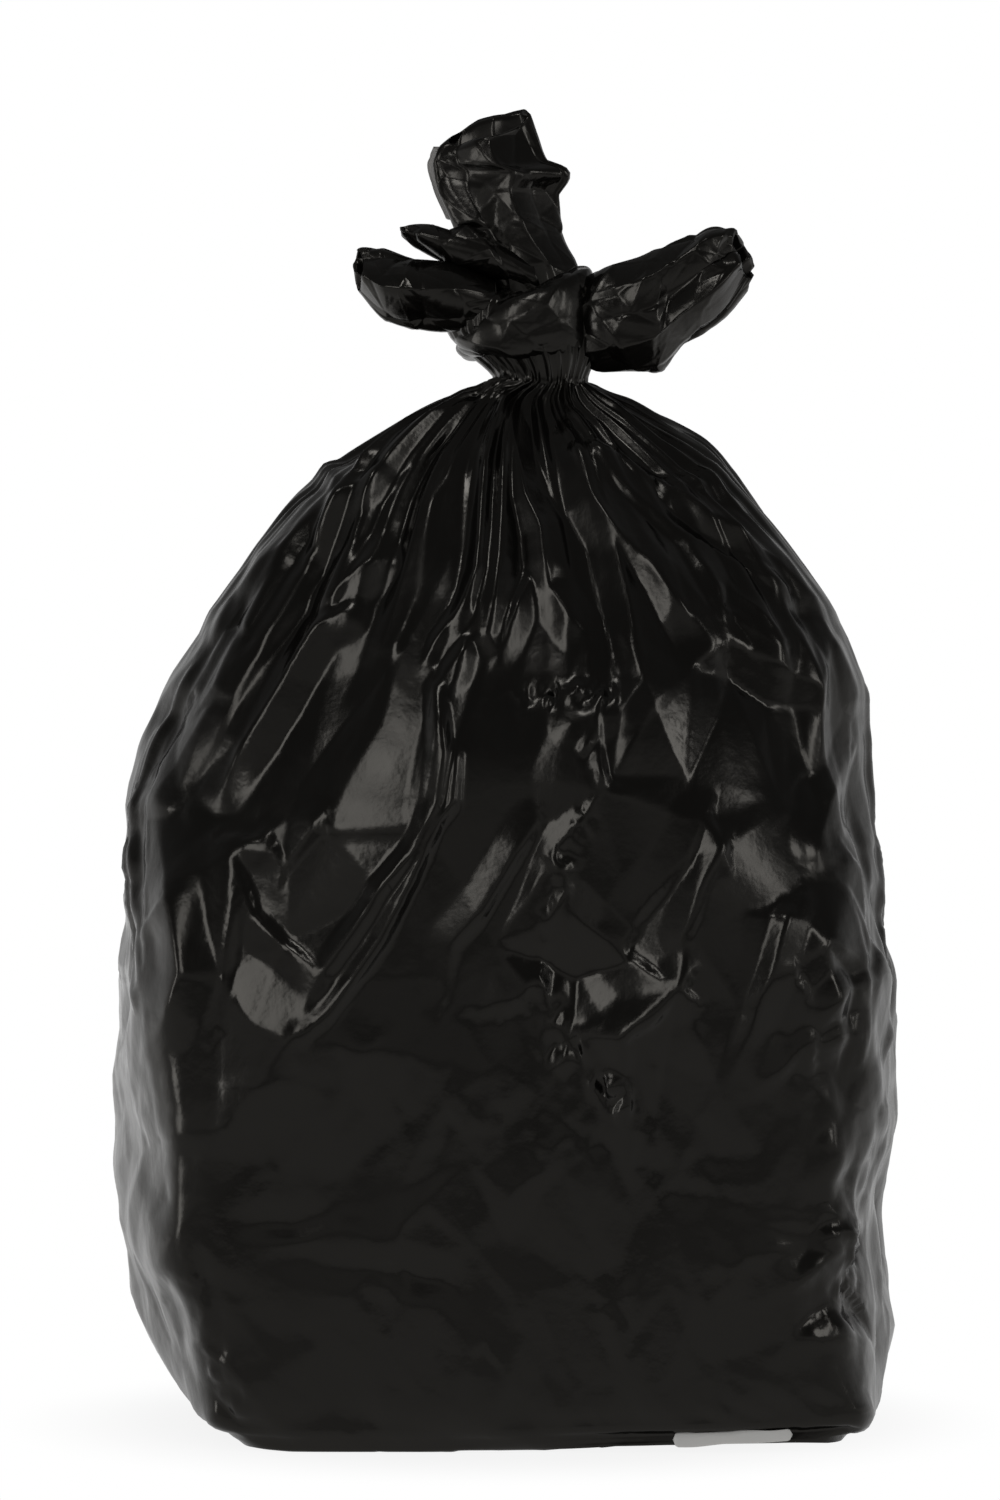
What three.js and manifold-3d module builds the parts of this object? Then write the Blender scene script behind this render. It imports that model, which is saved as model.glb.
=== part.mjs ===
// A full bin bag: a black polythene refuse sack, packed with household waste, standing on its base.
// The sack is one welded tube of film. Its mouth is gathered and tied in a knot, and the spare film
// leaves the knot as three tails: one up, one to the left and one to the right.
//
// Units are millimetres. +Z is up, the front faces -Y, and the origin is the middle of the base.

import * as THREE from "three";
import { LoftGeometry } from "three/addons/geometries/LoftGeometry.js";
import { mergeVertices } from "three/addons/utils/BufferGeometryUtils.js";
import Module from "manifold-3d";

// ---- Driving dimensions ----

const BODY_DEPTH = 312; // front to back, across the fullest part
const NECK_HEIGHT = 593; // the narrowest place, where the knot grips the film
const NECK_SHIFT = 21; // the neck stands this far to the right of the middle
const NECK_HALF_WIDTH = 27;
const KNOT_HEIGHT = 625; // middle of the knot

const AROUND = 80; // points in each section of the body
const RINGS = 36; // sections from the base to the neck

const BOXY = { power: 5.2, top: 225 }; // superellipse power where the packed waste squares the body off
const ROUND = { power: 2.3, foot: 540 }; // power where the film is gathered under the neck

const PLEATS = 14; // main folds that run down from the neck
const FINE_PLEATS = 26; // smaller folds between them
const PLEAT_DEPTH = 0.1; // height of the main folds, as a share of the section's reach
const FINE_PLEAT_DEPTH = 0.05;
const PLEAT_RUN = { foot: 310, full: 520 }; // heights where the main folds have run out, and are deepest
const FINE_PLEAT_RUN = { foot: 400, full: 570 };
const SLACK_DEPTH = 4; // depth of the slack film's broad dents
const SLACK_RUN = { foot: 175, full: 255, fade: 410, end: 520 }; // the heights that the dents lie between

const HEM = { length: 66, width: 11, thickness: 1.6, x: 127 }; // the base weld's loose strip

// The outline from the front: height, and how far the film reaches to the left and to the right.
const OUTLINE = [
  { z: 0, left: 166, right: 192 },
  { z: 5, left: 176, right: 205 },
  { z: 14, left: 182, right: 211 }, // the right-hand bottom corner sticks out
  { z: 26, left: 187, right: 208 },
  { z: 44, left: 196, right: 219 },
  { z: 80, left: 211, right: 219 },
  { z: 118, left: 220, right: 217 }, // fullest on the left
  { z: 180, left: 217, right: 218 },
  { z: 242, left: 215, right: 220 }, // fullest on the right
  { z: 300, left: 216, right: 214 },
  { z: 365, left: 212, right: 210 },
  { z: 410, left: 195, right: 206 },
  { z: 450, left: 172, right: 188 },
  { z: 495, left: 143, right: 165 },
  { z: 538, left: 106, right: 130 },
  { z: 568, left: 60, right: 93 },
  { z: 582, left: 34, right: 68 },
  { z: NECK_HEIGHT, left: NECK_HALF_WIDTH - NECK_SHIFT, right: NECK_HALF_WIDTH + NECK_SHIFT },
];

// How far the film reaches to the front and back, as a share of half the depth.
const PROFILE = [
  { z: 0, share: 0.86 },
  { z: 12, share: 0.94 },
  { z: 70, share: 0.98 },
  { z: 220, share: 1 },
  { z: 365, share: 0.93 },
  { z: 450, share: 0.74 },
  { z: 538, share: 0.44 },
  { z: 568, share: 0.28 },
  { z: 582, share: 0.2 },
  { z: NECK_HEIGHT, share: 0.155 },
];

const FILM = new THREE.MeshStandardMaterial({
  name: "black_film",
  color: 0x10100f,
  roughness: 0.28,
  metalness: 0,
});

// ---- Helpers ----

/** 0 below low, 1 above high, and a smooth ramp between. */
const ramp = (value, low, high) => THREE.MathUtils.smoothstep(value, low, high);

/** A smooth function of height through the stations' values of one field. */
function along(stations, field) {
  const points = stations.map((s) => new THREE.Vector3(s.z, s[field], 0));
  const curve = new THREE.CatmullRomCurve3(points, false, "centripetal");
  const samples = curve.getPoints(stations.length * 12);
  return (z) => {
    const next = Math.max(1, samples.findIndex((p) => p.x >= z));
    const [a, b] = [samples[next - 1], samples[next]];
    return THREE.MathUtils.lerp(a.y, b.y, THREE.MathUtils.clamp((z - a.x) / (b.x - a.x), 0, 1));
  };
}

/** How far a superellipse with these half axes reaches from its middle at an angle. */
function superellipseReach(angle, halfX, halfY, power) {
  const [x, y] = [Math.abs(Math.cos(angle)) / halfX, Math.abs(Math.sin(angle)) / halfY];
  return (x ** power + y ** power) ** (-1 / power);
}

// ---- Body ----

const leftAt = along(OUTLINE, "left");
const rightAt = along(OUTLINE, "right");
const depthAt = along(PROFILE, "share");

/** How deep a gathered fold is at an angle and height, from 0 on a crest to 1 in a valley. */
function valley(angle, count, twist, z) {
  const drift = 0.5 * Math.sin(2 * angle + 0.7) + (twist * (NECK_HEIGHT - z)) / NECK_HEIGHT;
  return Math.abs(Math.sin((count * angle) / 2 + drift)) ** 0.8;
}

/** How deep slack film dents in between the lumps of waste, from 0 on a lump to 1. */
function dent(angle, z) {
  const long = Math.sin(5 * angle + z / 43) * Math.cos(z / 37 - 2 * angle);
  const short = Math.sin(11 * angle - z / 29) * Math.cos(z / 23 + 3 * angle);
  return 0.5 - (long + 0.5 * short) / 3;
}

/** One closed section of the body, counterclockwise from above. */
function bodySection(z) {
  const [left, right] = [leftAt(z), rightAt(z)];
  const middle = (right - left) / 2;
  const halfWidth = (right + left) / 2;
  const halfDepth = (depthAt(z) * BODY_DEPTH) / 2;
  const power = THREE.MathUtils.lerp(BOXY.power, ROUND.power, ramp(z, BOXY.top, ROUND.foot));
  const mainDepth = PLEAT_DEPTH * ramp(z, PLEAT_RUN.foot, PLEAT_RUN.full);
  const fineDepth = FINE_PLEAT_DEPTH * ramp(z, FINE_PLEAT_RUN.foot, FINE_PLEAT_RUN.full);
  const slack = ramp(z, SLACK_RUN.foot, SLACK_RUN.full) * (1 - ramp(z, SLACK_RUN.fade, SLACK_RUN.end));
  return Array.from({ length: AROUND }, (_, i) => {
    const angle = (i / AROUND) * 2 * Math.PI;
    const reach = superellipseReach(angle, halfWidth, halfDepth, power);
    // Folds and dents only go inwards, so the outline stays the film's outermost line.
    const folded = mainDepth * valley(angle, PLEATS, 2.2, z) + fineDepth * valley(angle, FINE_PLEATS, 1.1, z);
    const dented = SLACK_DEPTH * slack * Math.abs(Math.sin(angle)) * dent(angle, z);
    const radius = reach * (1 - folded) - dented;
    return new THREE.Vector3(radius * Math.cos(angle) + middle, radius * Math.sin(angle), z);
  });
}

/** Heights of the sections, closer together at the base's rounded edge and under the knot. */
function sectionHeights() {
  const last = RINGS - 1;
  return Array.from({ length: RINGS }, (_, i) => {
    const t = i / last;
    const eased = t - (Math.sin(2 * Math.PI * t) / (2 * Math.PI)) * 0.62;
    return i === last ? NECK_HEIGHT : NECK_HEIGHT * eased;
  });
}

/** The body, from the flat base up into the knot. */
function bodyGeometry() {
  const sections = sectionHeights().map(bodySection);
  const neck = sections.at(-1);
  // Above the neck the same film runs straight up into the knot.
  sections.push(neck.map((p) => p.clone().setZ(KNOT_HEIGHT)));
  return new LoftGeometry(sections, { capStart: true, capEnd: true });
}

// ---- Knot and tails ----

/**
 * A tail of gathered film: a flattened, pleated tube that fans out along a line to its cut end.
 * Each station gives a point of the line, half the fan's width and half its thickness there.
 * lean turns the fan about its own line, and cut slants the end, one edge ahead of the other.
 */
function tailGeometry({ stations, pleats, depth, lean, cut }) {
  const across = 24;
  const steps = 12;
  const line = new THREE.CatmullRomCurve3(stations.map((s) => new THREE.Vector3(...s.at)));
  const half = new THREE.CatmullRomCurve3(stations.map((s) => new THREE.Vector3(s.wide, s.thick, 0)));
  const front = new THREE.Vector3(0, -1, 0);
  const sections = Array.from({ length: steps + 1 }, (_, i) => {
    const t = i / steps;
    const centre = line.getPoint(t);
    const forward = line.getTangent(t);
    const side = new THREE.Vector3().crossVectors(forward, front).normalize().applyAxisAngle(forward, lean);
    const out = new THREE.Vector3().crossVectors(forward, side).normalize();
    const size = half.getPoint(t);
    return Array.from({ length: across }, (_, j) => {
      const angle = (j / across) * 2 * Math.PI;
      const u = Math.cos(angle);
      const ripple = depth * t * Math.sin(pleats * u * Math.PI + 1.3 * t);
      const v = size.y * Math.sin(angle) + ripple;
      return centre
        .clone()
        .addScaledVector(side, size.x * u)
        .addScaledVector(out, v)
        .addScaledVector(forward, cut * u * t * t);
    });
  });
  return new LoftGeometry(sections, { capStart: true, capEnd: true });
}

const TAILS = {
  top: {
    stations: [
      { at: [24, 2, KNOT_HEIGHT], wide: 22, thick: 17 },
      { at: [16, 3, 663], wide: 30, thick: 14 },
      { at: [-1, 6, 693], wide: 33, thick: 12 },
      { at: [-12, 10, 728], wide: 31, thick: 10 },
    ],
    pleats: 2.5,
    depth: 4,
    lean: 0.12,
    cut: 11,
  },
  left: {
    stations: [
      { at: [20, -6, KNOT_HEIGHT], wide: 20, thick: 17 },
      { at: [-18, -14, 634], wide: 23, thick: 14 },
      { at: [-48, -18, 641], wide: 25, thick: 12 },
      { at: [-76, -16, 649], wide: 22, thick: 9 },
    ],
    pleats: 2,
    depth: 4,
    lean: -0.25,
    cut: 8,
  },
  leftSpike: {
    stations: [
      { at: [22, 2, 636], wide: 14, thick: 12 },
      { at: [-12, 0, 651], wide: 13, thick: 10 },
      { at: [-38, -3, 663], wide: 9, thick: 7 },
      { at: [-58, -6, 675], wide: 4, thick: 4 },
    ],
    pleats: 1,
    depth: 1.5,
    lean: 0.1,
    cut: 1,
  },
  right: {
    stations: [
      { at: [32, -2, KNOT_HEIGHT + 2], wide: 22, thick: 17 },
      { at: [66, -9, 630], wide: 29, thick: 16 },
      { at: [99, -13, 641], wide: 31, thick: 15 },
      { at: [131, -9, 660], wide: 19, thick: 9 },
    ],
    pleats: 2,
    depth: 4,
    lean: 0.2,
    cut: 2,
  },
};

/** The band of film that wraps the neck: a flattened ring, lower on the left than on the right. */
function bandGeometry() {
  const band = new THREE.TorusGeometry(23, 14.5, 10, 32);
  band.scale(1.2, 1.05, 1.45);
  band.rotateY(-0.2);
  band.translate(NECK_SHIFT + 3, 0, KNOT_HEIGHT - 4);
  return band;
}

/** The core of the knot, which fills the middle of the band. */
function coreGeometry() {
  const core = new THREE.SphereGeometry(28, 20, 12);
  core.scale(1.15, 0.85, 0.92);
  core.translate(NECK_SHIFT + 4, 0, KNOT_HEIGHT - 3);
  return core;
}

/** The loose strip of the base's weld, which lies out from under the front on the right. */
function hemGeometry() {
  const hem = new THREE.BoxGeometry(HEM.length, HEM.width, HEM.thickness);
  hem.rotateX(0.42);
  hem.rotateZ(-0.03);
  hem.translate(HEM.x, -0.89 * (BODY_DEPTH / 2), HEM.width / 2);
  return hem;
}

// ---- One solid ----

const wasm = await Module();
wasm.setup();

/** A closed three.js geometry as a manifold-3d solid. */
function toSolid(geometry) {
  const bare = new THREE.BufferGeometry().copy(geometry);
  bare.deleteAttribute("normal");
  bare.deleteAttribute("uv");
  const merged = mergeVertices(bare, 1e-4);
  return new wasm.Manifold(
    new wasm.Mesh({
      numProp: 3,
      vertProperties: new Float32Array(merged.attributes.position.array),
      triVerts: new Uint32Array(merged.index.array),
    }),
  );
}

/** A manifold-3d solid as a three.js geometry. */
function toGeometry(solid) {
  const mesh = solid.getMesh();
  const geometry = new THREE.BufferGeometry();
  geometry.setAttribute("position", new THREE.BufferAttribute(mesh.vertProperties, 3));
  geometry.setIndex(new THREE.BufferAttribute(mesh.triVerts, 1));
  geometry.computeVertexNormals();
  return geometry;
}

/** The whole sack: the body, the knot and the tails are one piece of film. */
function bagGeometry() {
  const pieces = [
    bodyGeometry(),
    hemGeometry(),
    coreGeometry(),
    bandGeometry(),
    ...Object.values(TAILS).map(tailGeometry),
  ];
  const whole = pieces.map(toSolid).reduce((joined, next) => joined.add(next));
  return toGeometry(whole);
}

const bag = new THREE.Mesh(bagGeometry(), FILM);
bag.name = "bin_bag";

const fullBinBag = new THREE.Group();
fullBinBag.add(bag);

// The origin is the middle of the base's outline on the floor.
const box = new THREE.Box3().setFromObject(bag);
bag.position.set(-(box.min.x + box.max.x) / 2, -(box.min.y + box.max.y) / 2, -box.min.z);

export default fullBinBag;
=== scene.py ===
"""A full bin bag: one black polythene refuse sack, packed tight, gathered at the mouth and knotted.

The sack is a single skin of thin film. It is built as grids of film points that are closed round,
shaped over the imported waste, creased, and then relaxed as film that folds but doesn't stretch.
Lengths are in mm until in_frame turns them into the frame's metres.
"""

import logging
import math
from dataclasses import dataclass, field
from enum import Enum

import bpy
import numpy as np
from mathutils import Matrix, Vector
from mathutils.geometry import delaunay_2d_cdt


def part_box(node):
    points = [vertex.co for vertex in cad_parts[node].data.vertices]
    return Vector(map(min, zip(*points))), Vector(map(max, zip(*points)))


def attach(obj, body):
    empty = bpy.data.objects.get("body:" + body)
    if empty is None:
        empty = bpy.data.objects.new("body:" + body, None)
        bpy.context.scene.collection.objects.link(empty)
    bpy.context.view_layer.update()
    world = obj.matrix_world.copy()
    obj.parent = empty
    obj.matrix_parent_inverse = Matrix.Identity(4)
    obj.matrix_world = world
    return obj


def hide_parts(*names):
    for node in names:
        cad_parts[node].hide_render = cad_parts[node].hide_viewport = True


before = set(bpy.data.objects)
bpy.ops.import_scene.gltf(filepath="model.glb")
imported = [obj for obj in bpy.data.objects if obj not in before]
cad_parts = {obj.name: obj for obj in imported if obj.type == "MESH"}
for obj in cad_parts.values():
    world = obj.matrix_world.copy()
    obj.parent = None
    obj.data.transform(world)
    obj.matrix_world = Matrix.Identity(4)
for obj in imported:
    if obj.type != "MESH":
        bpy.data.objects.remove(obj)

LOG = logging.getLogger("bin_bag")
Array = np.ndarray
TINY = 1e-9  # keeps a division from failing

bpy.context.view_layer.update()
BODY = "root"
NODE = "bin_bag"

DESIGN = np.array([440.4, 312.8, 747.1])  # the box that the sizes below are drawn in: wide, deep, high, mm
GIRTH = 1475.0  # once round the sack's mouth, lying flat
NECK = 593.0  # height where the knot grips the film
NECK_X = 21.0  # the neck stands this far right of the middle


# ---- Small tools ----


def ramp(value: float | Array, low: float, high: float) -> Array:
    """Smooth step from 0 at low to 1 at high.

    Args:
        value: A number or an array.
        low: Where the step starts.
        high: Where it ends.

    Returns:
        The step's height, of the same shape as value.
    """
    t = np.clip((np.asarray(value, float) - low) / (high - low), 0.0, 1.0)
    return t * t * (3.0 - 2.0 * t)


def through(stations: tuple | list | Array, at: float | Array) -> Array:
    """Smooth curve through stations that never overshoots them (monotone cubic).

    Args:
        stations: (place, value) pairs in rising order of place.
        at: Places to read the curve at.

    Returns:
        The curve's values there.
    """
    x, y = np.array(stations, float).T
    at = np.clip(np.asarray(at, float), x[0], x[-1])
    gap = np.diff(x)
    slope = np.diff(y) / gap
    level = slope[:-1] * slope[1:] <= 0
    before, after = np.where(level, 1.0, slope[:-1]), np.where(level, 1.0, slope[1:])
    w_before, w_after = 2 * gap[1:] + gap[:-1], gap[1:] + 2 * gap[:-1]
    inner = np.where(level, 0.0, (w_before + w_after) / (w_before / before + w_after / after))
    lean = np.concatenate([slope[:1], inner, slope[-1:]])
    i = np.clip(np.searchsorted(x, at, side="right") - 1, 0, len(gap) - 1)
    t = (at - x[i]) / gap[i]
    rise = (1 + 2 * t) * (1 - t) ** 2 * y[i] + t * t * (3 - 2 * t) * y[i + 1]
    return rise + gap[i] * (t * (1 - t) ** 2 * lean[i] + t * t * (t - 1) * lean[i + 1])


def mottle(rows: int, around: int, cells_up: int, cells_round: int, seed: int) -> Array:
    """Smooth random field over a grid that is closed round.

    Args:
        rows: Rings of the grid.
        around: Points in each ring.
        cells_up: Random cells from the bottom to the top.
        cells_round: Random cells once round.
        seed: Seed of the random numbers.

    Returns:
        A (rows, around) array, about -2 to 2.
    """
    lattice = np.random.default_rng(seed).normal(size=(cells_up + 2, cells_round))
    up = np.linspace(0, cells_up, rows)
    turn = np.arange(around) / around * cells_round
    i, j = up.astype(int), turn.astype(int)
    fi, fj = up - i, turn - j
    fi, fj = (fi * fi * (3 - 2 * fi))[:, None], (fj * fj * (3 - 2 * fj))[None, :]

    def corner(di: int, dj: int) -> Array:
        """The lattice values at one corner of each point's cell."""
        return lattice[np.ix_(i + di, (j + dj) % cells_round)]

    low = corner(0, 0) * (1 - fj) + corner(0, 1) * fj
    high = corner(1, 0) * (1 - fj) + corner(1, 1) * fj
    return low * (1 - fi) + high * fi


# ---- Film ----


def outward(points: Array) -> Array:
    """Unit normals of a grid of points that is closed round.

    Args:
        points: (rows, around, 3) places, counterclockwise from above, from the bottom up.

    Returns:
        Normals of the same shape.
    """
    along = np.roll(points, -1, axis=1) - np.roll(points, 1, axis=1)
    normal = np.cross(along, np.gradient(points, axis=0))
    return normal / np.maximum(np.linalg.norm(normal, axis=2, keepdims=True), TINY)


def finer(points: Array) -> Array:
    """The same film with twice as many points each way.

    Args:
        points: (rows, around, 3) places.

    Returns:
        (2 * rows - 1, 2 * around, 3) places on a smooth surface through the old ones.
    """
    after, before, next_but_one = (np.roll(points, -n, axis=1) for n in (1, -1, 2))
    wide = np.empty((points.shape[0], points.shape[1] * 2, 3))
    wide[:, 0::2] = points
    wide[:, 1::2] = (9 * (points + after) - before - next_but_one) / 16
    tall = np.empty((wide.shape[0] * 2 - 1, wide.shape[1], 3))
    tall[0::2] = wide
    tall[1::2] = (wide[:-1] + wide[1:]) / 2
    tall[3:-3:2] = (9 * (wide[1:-2] + wide[2:-1]) - wide[:-3] - wide[3:]) / 16
    return tall


def soften(points: Array, passes: int, share: float = 0.5) -> Array:
    """Rounds creases a little by moving points towards their neighbours' middle.

    Args:
        points: (rows, around, 3) places.
        passes: How many times.
        share: How far towards the middle, 0 to 1.

    Returns:
        The softened places; the first and last rings stay.
    """
    for _ in range(passes):
        middle = (np.roll(points, 1, axis=1) + np.roll(points, -1, axis=1)) / 4
        middle[1:-1] += (points[2:] + points[:-2]) / 4
        moved = points + share * (middle - points)
        moved[0], moved[-1] = points[0], points[-1]
        points = moved
    return points


@dataclass
class Film:
    """Film that folds but doesn't stretch, on a grid of points that is closed round.

    It starts on a shape, is given a little more film than the shape needs, and buckles into creases.
    """

    shape: Array  # (rows, around, 3): where the film is drawn back to
    spare_round: Array  # (rows, around): spare film round the sack, as a share
    spare_up: Array  # the same, up the sack
    free: Array  # (rows, around): 0 where the film is held, 1 where it moves freely
    start: Array | None = None  # where the points start, if not on the shape
    inward: float | Array = 12.0  # the furthest that a point sinks below the shape, mm
    proud: float | Array = 9.0  # the furthest that it stands above the shape, mm
    bend: float = 0.05  # how strongly a fold opens out
    draw: float | Array = 0.004  # how strongly a point is drawn back to the shape
    along_grid: float = 0.5  # how stiff the film is along the grid's lines
    across_grid: float = 0.25  # and across them
    give_way: float = 1.6  # how fast the spare film comes in: 1 is evenly over all the steps

    def __post_init__(self) -> None:
        """Measures the links between neighbouring points."""
        self.points = (self.shape if self.start is None else self.start).copy()
        self.normal = outward(self.shape)
        across = (self.spare_round + self.spare_up) / 2
        self.links = [
            (down, along, self._length(down, along), spare[: len(spare) - down], stiff)
            for down, along, spare, stiff in (
                (0, 1, self.spare_round, self.along_grid), (1, 0, self.spare_up, self.along_grid),
                (1, 1, across, self.across_grid), (1, -1, across, self.across_grid),
            )
        ]
        self.stays = [(down, along, self._length(down, along)) for down, along in ((0, 2), (2, 0))]

    @staticmethod
    def _other(points: Array, down: int, along: int) -> Array:
        """The points at the far ends of links that run down and along the grid."""
        return np.roll(points, -along, axis=1)[down:]

    def _length(self, down: int, along: int) -> Array:
        """Lengths on the shape of the links that run down and along the grid."""
        near = self.shape[: len(self.shape) - down]
        return np.linalg.norm(self._other(self.shape, down, along) - near, axis=2)

    def _pull(self, down: int, along: int, rest: Array, stiff: float, only_push: bool = False) -> None:
        """Moves the two ends of every link that runs down and along the grid towards its rest length.

        Args:
            down: Rows from one end to the other.
            along: Columns from one end to the other.
            rest: The links' rest lengths, mm.
            stiff: How much of the difference one round makes up, 0 to 1.
            only_push: Whether links that are too long are left alone.
        """
        near = len(self.points) - down
        link = self._other(self.points, down, along) - self.points[:near]
        length = np.sqrt(np.einsum("ijk,ijk->ij", link, link)) + TINY
        share = 0.5 * stiff * (length - rest) / length
        if only_push:
            share = np.minimum(share, 0)
        move = link * share[..., None]
        self.points[:near] += move
        self.points[down:] -= np.roll(move, along, axis=1)

    def relax(self, steps: int) -> Array:
        """Lets the film settle.

        Args:
            steps: How many rounds of moves.

        Returns:
            The settled (rows, around, 3) places.
        """
        for step in range(steps):
            before = self.points.copy()
            share = min(1.0, self.give_way * (step + 1) / steps)
            for down, along, length, spare, stiff in self.links:
                self._pull(down, along, length * (1 + share * spare), stiff)
            for down, along, length in self.stays:
                self._pull(down, along, length, self.bend, only_push=True)
            self.points += self.draw * (self.shape - self.points)
            lift = np.einsum("ijk,ijk->ij", self.points - self.shape, self.normal)
            self.points += (np.clip(lift, -self.inward, self.proud) - lift)[..., None] * self.normal
            self.points = before + self.free[..., None] * (self.points - before)
        return self.points


def in_frame(points: Array) -> Array:
    """Turns places in mm, as drawn here, into the frame's metres, so that the sack fills its own box.

    Args:
        points: (n, 3) places from the middle of the base, mm.

    Returns:
        (n, 3) places in metres.
    """
    low, high = (np.array(corner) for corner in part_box(NODE))
    middle = np.array([*(low + high)[:2] / 2, low[2]])
    return middle + points * (high - low) / DESIGN


MOST_PARTS = 64  # one cut makes fewer parts than this of an upright edge
MERGE = 0.00001  # points that are closer than this are one, m


def tube(name: str, points: Array) -> bpy.types.Object:
    """A closed tube of film as a mesh object, from a cylinder whose rings are then put in place.

    Args:
        name: The object's name.
        points: (rows, around, 3) places in mm, counterclockwise from above, from the bottom up.

    Returns:
        The object, at the origin, with its shape in its mesh.
    """
    rows, around = points.shape[:2]
    bpy.ops.object.select_all(action="DESELECT")
    bpy.ops.mesh.primitive_cylinder_add(vertices=around, radius=1, depth=rows - 1, end_fill_type="NOTHING")
    piece = bpy.context.object
    piece.name = piece.data.name = name
    bpy.ops.object.mode_set(mode="EDIT")
    bpy.ops.mesh.select_mode(type="EDGE")
    bpy.ops.mesh.select_all(action="DESELECT")
    bpy.ops.object.mode_set(mode="OBJECT")
    rings_left = rows - 1
    while rings_left > 1:
        parts = max(n for n in range(2, MOST_PARTS) if rings_left % n == 0)
        cut_uprights(piece, parts - 1)
        rings_left //= parts
    plain = places(piece)
    row = np.rint(plain[:, 2] + (rows - 1) / 2).astype(int)
    column = np.rint(np.arctan2(plain[:, 1], plain[:, 0]) / (2 * np.pi) * around).astype(int) % around
    piece.data.vertices.foreach_set("co", in_frame(points[row, column]).ravel())
    split_along_creases(piece, points, row, column)
    bpy.ops.object.mode_set(mode="EDIT")
    bpy.ops.mesh.select_all(action="SELECT")
    bpy.ops.mesh.remove_doubles(threshold=MERGE)
    bpy.ops.mesh.select_all(action="DESELECT")
    bpy.ops.object.mode_set(mode="OBJECT")
    bpy.ops.object.shade_smooth()
    return piece


def split_along_creases(piece: bpy.types.Object, points: Array, row: Array, column: Array) -> None:
    """Splits each four-sided face along the diagonal that bends least, so that creases stay straight.

    Args:
        piece: The tube's object.
        points: (rows, around, 3) places of the film's points.
        row: Each vertex's row in points.
        column: Each vertex's column.
    """
    around = points.shape[1]
    gaps = len(points) - 1
    tall = np.concatenate([points[:1], points, points[-1:]])
    left_one, right_one, right_two = (np.roll(tall, -n, axis=1) for n in (-1, 1, 2))
    near, far = tall[1: 1 + gaps], right_one[2: 2 + gaps]
    bend_up = np.linalg.norm(left_one[:gaps] - near - far + right_two[3:], axis=2)
    near, far = right_one[1: 1 + gaps], tall[2: 2 + gaps]
    bend_down = np.linalg.norm(right_two[:gaps] - near - far + left_one[3:], axis=2)
    corners = np.empty(len(piece.data.polygons) * 4, int)
    piece.data.polygons.foreach_get("vertices", corners)
    corners = corners.reshape(-1, 4)
    rows, columns = row[corners], column[corners]
    low = rows.min(axis=1)
    wraps = columns.max(axis=1) - columns.min(axis=1) > 1
    left = np.where(wraps, around - 1, columns.min(axis=1))
    first_is_left = columns[:, 0] == left
    first_is_low = rows[:, 0] == low
    first_is_rising = first_is_left == first_is_low
    wants_rising = (bend_up <= bend_down)[low, left]
    for chosen, method in ((wants_rising == first_is_rising, "FIXED"), (None, "FIXED_ALTERNATE")):
        picked = np.ones(len(piece.data.polygons), bool)
        if chosen is not None:
            picked[:] = chosen
        piece.data.polygons.foreach_set("select", picked)
        bpy.ops.object.mode_set(mode="EDIT")
        bpy.ops.mesh.select_mode(type="FACE")
        bpy.ops.mesh.quads_convert_to_tris(quad_method=method)
        bpy.ops.mesh.select_mode(type="EDGE")
        bpy.ops.mesh.select_all(action="DESELECT")
        bpy.ops.object.mode_set(mode="OBJECT")


def places(piece: bpy.types.Object) -> Array:
    """Reads where a piece's vertices are.

    Args:
        piece: The mesh object.

    Returns:
        An (n, 3) array of places.
    """
    flat = np.empty(len(piece.data.vertices) * 3)
    piece.data.vertices.foreach_get("co", flat)
    return flat.reshape(-1, 3)


def cut_uprights(piece: bpy.types.Object, cuts: int) -> None:
    """Cuts every upright edge of a plain tube, which adds rings to it.

    Args:
        piece: The tube's object.
        cuts: New rings in each old gap.
    """
    height = places(piece)[:, 2]
    ends = np.empty(len(piece.data.edges) * 2, int)
    piece.data.edges.foreach_get("vertices", ends)
    ends = ends.reshape(-1, 2)
    piece.data.edges.foreach_set("select", np.abs(height[ends[:, 0]] - height[ends[:, 1]]) > 0.5)
    bpy.ops.object.mode_set(mode="EDIT")
    bpy.ops.mesh.subdivide(number_cuts=cuts)
    bpy.ops.mesh.select_all(action="DESELECT")
    bpy.ops.object.mode_set(mode="OBJECT")


# ---- Finishes ----


MM_IN_M = 1000


def linear(code: str) -> tuple[float, ...]:
    """An sRGB hex colour, such as "#0d0d0c", as linear red, green, blue and alpha."""
    parts = [int(code[i: i + 2], 16) / 255 for i in (1, 3, 5)]
    return tuple(c / 12.92 if c <= 0.04045 else ((c + 0.055) / 1.055) ** 2.4 for c in parts) + (1.0,)


def add_node(tree: bpy.types.NodeTree, kind: str, settings: dict | None = None,
             links: dict | None = None) -> bpy.types.Node:
    """Adds a node with its settings and its incoming links.

    Args:
        tree: The node tree.
        kind: The node's type name.
        settings: Property or input names, or input numbers, and their values.
        links: Input names or numbers, and the output sockets that feed them.

    Returns:
        The node.
    """
    node = tree.nodes.new(kind)
    for name, value in (settings or {}).items():
        if isinstance(name, str) and hasattr(node, name):
            setattr(node, name, value)
        else:
            node.inputs[name].default_value = value
    for name, source in (links or {}).items():
        tree.links.new(source, node.inputs[name])
    return node


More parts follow.
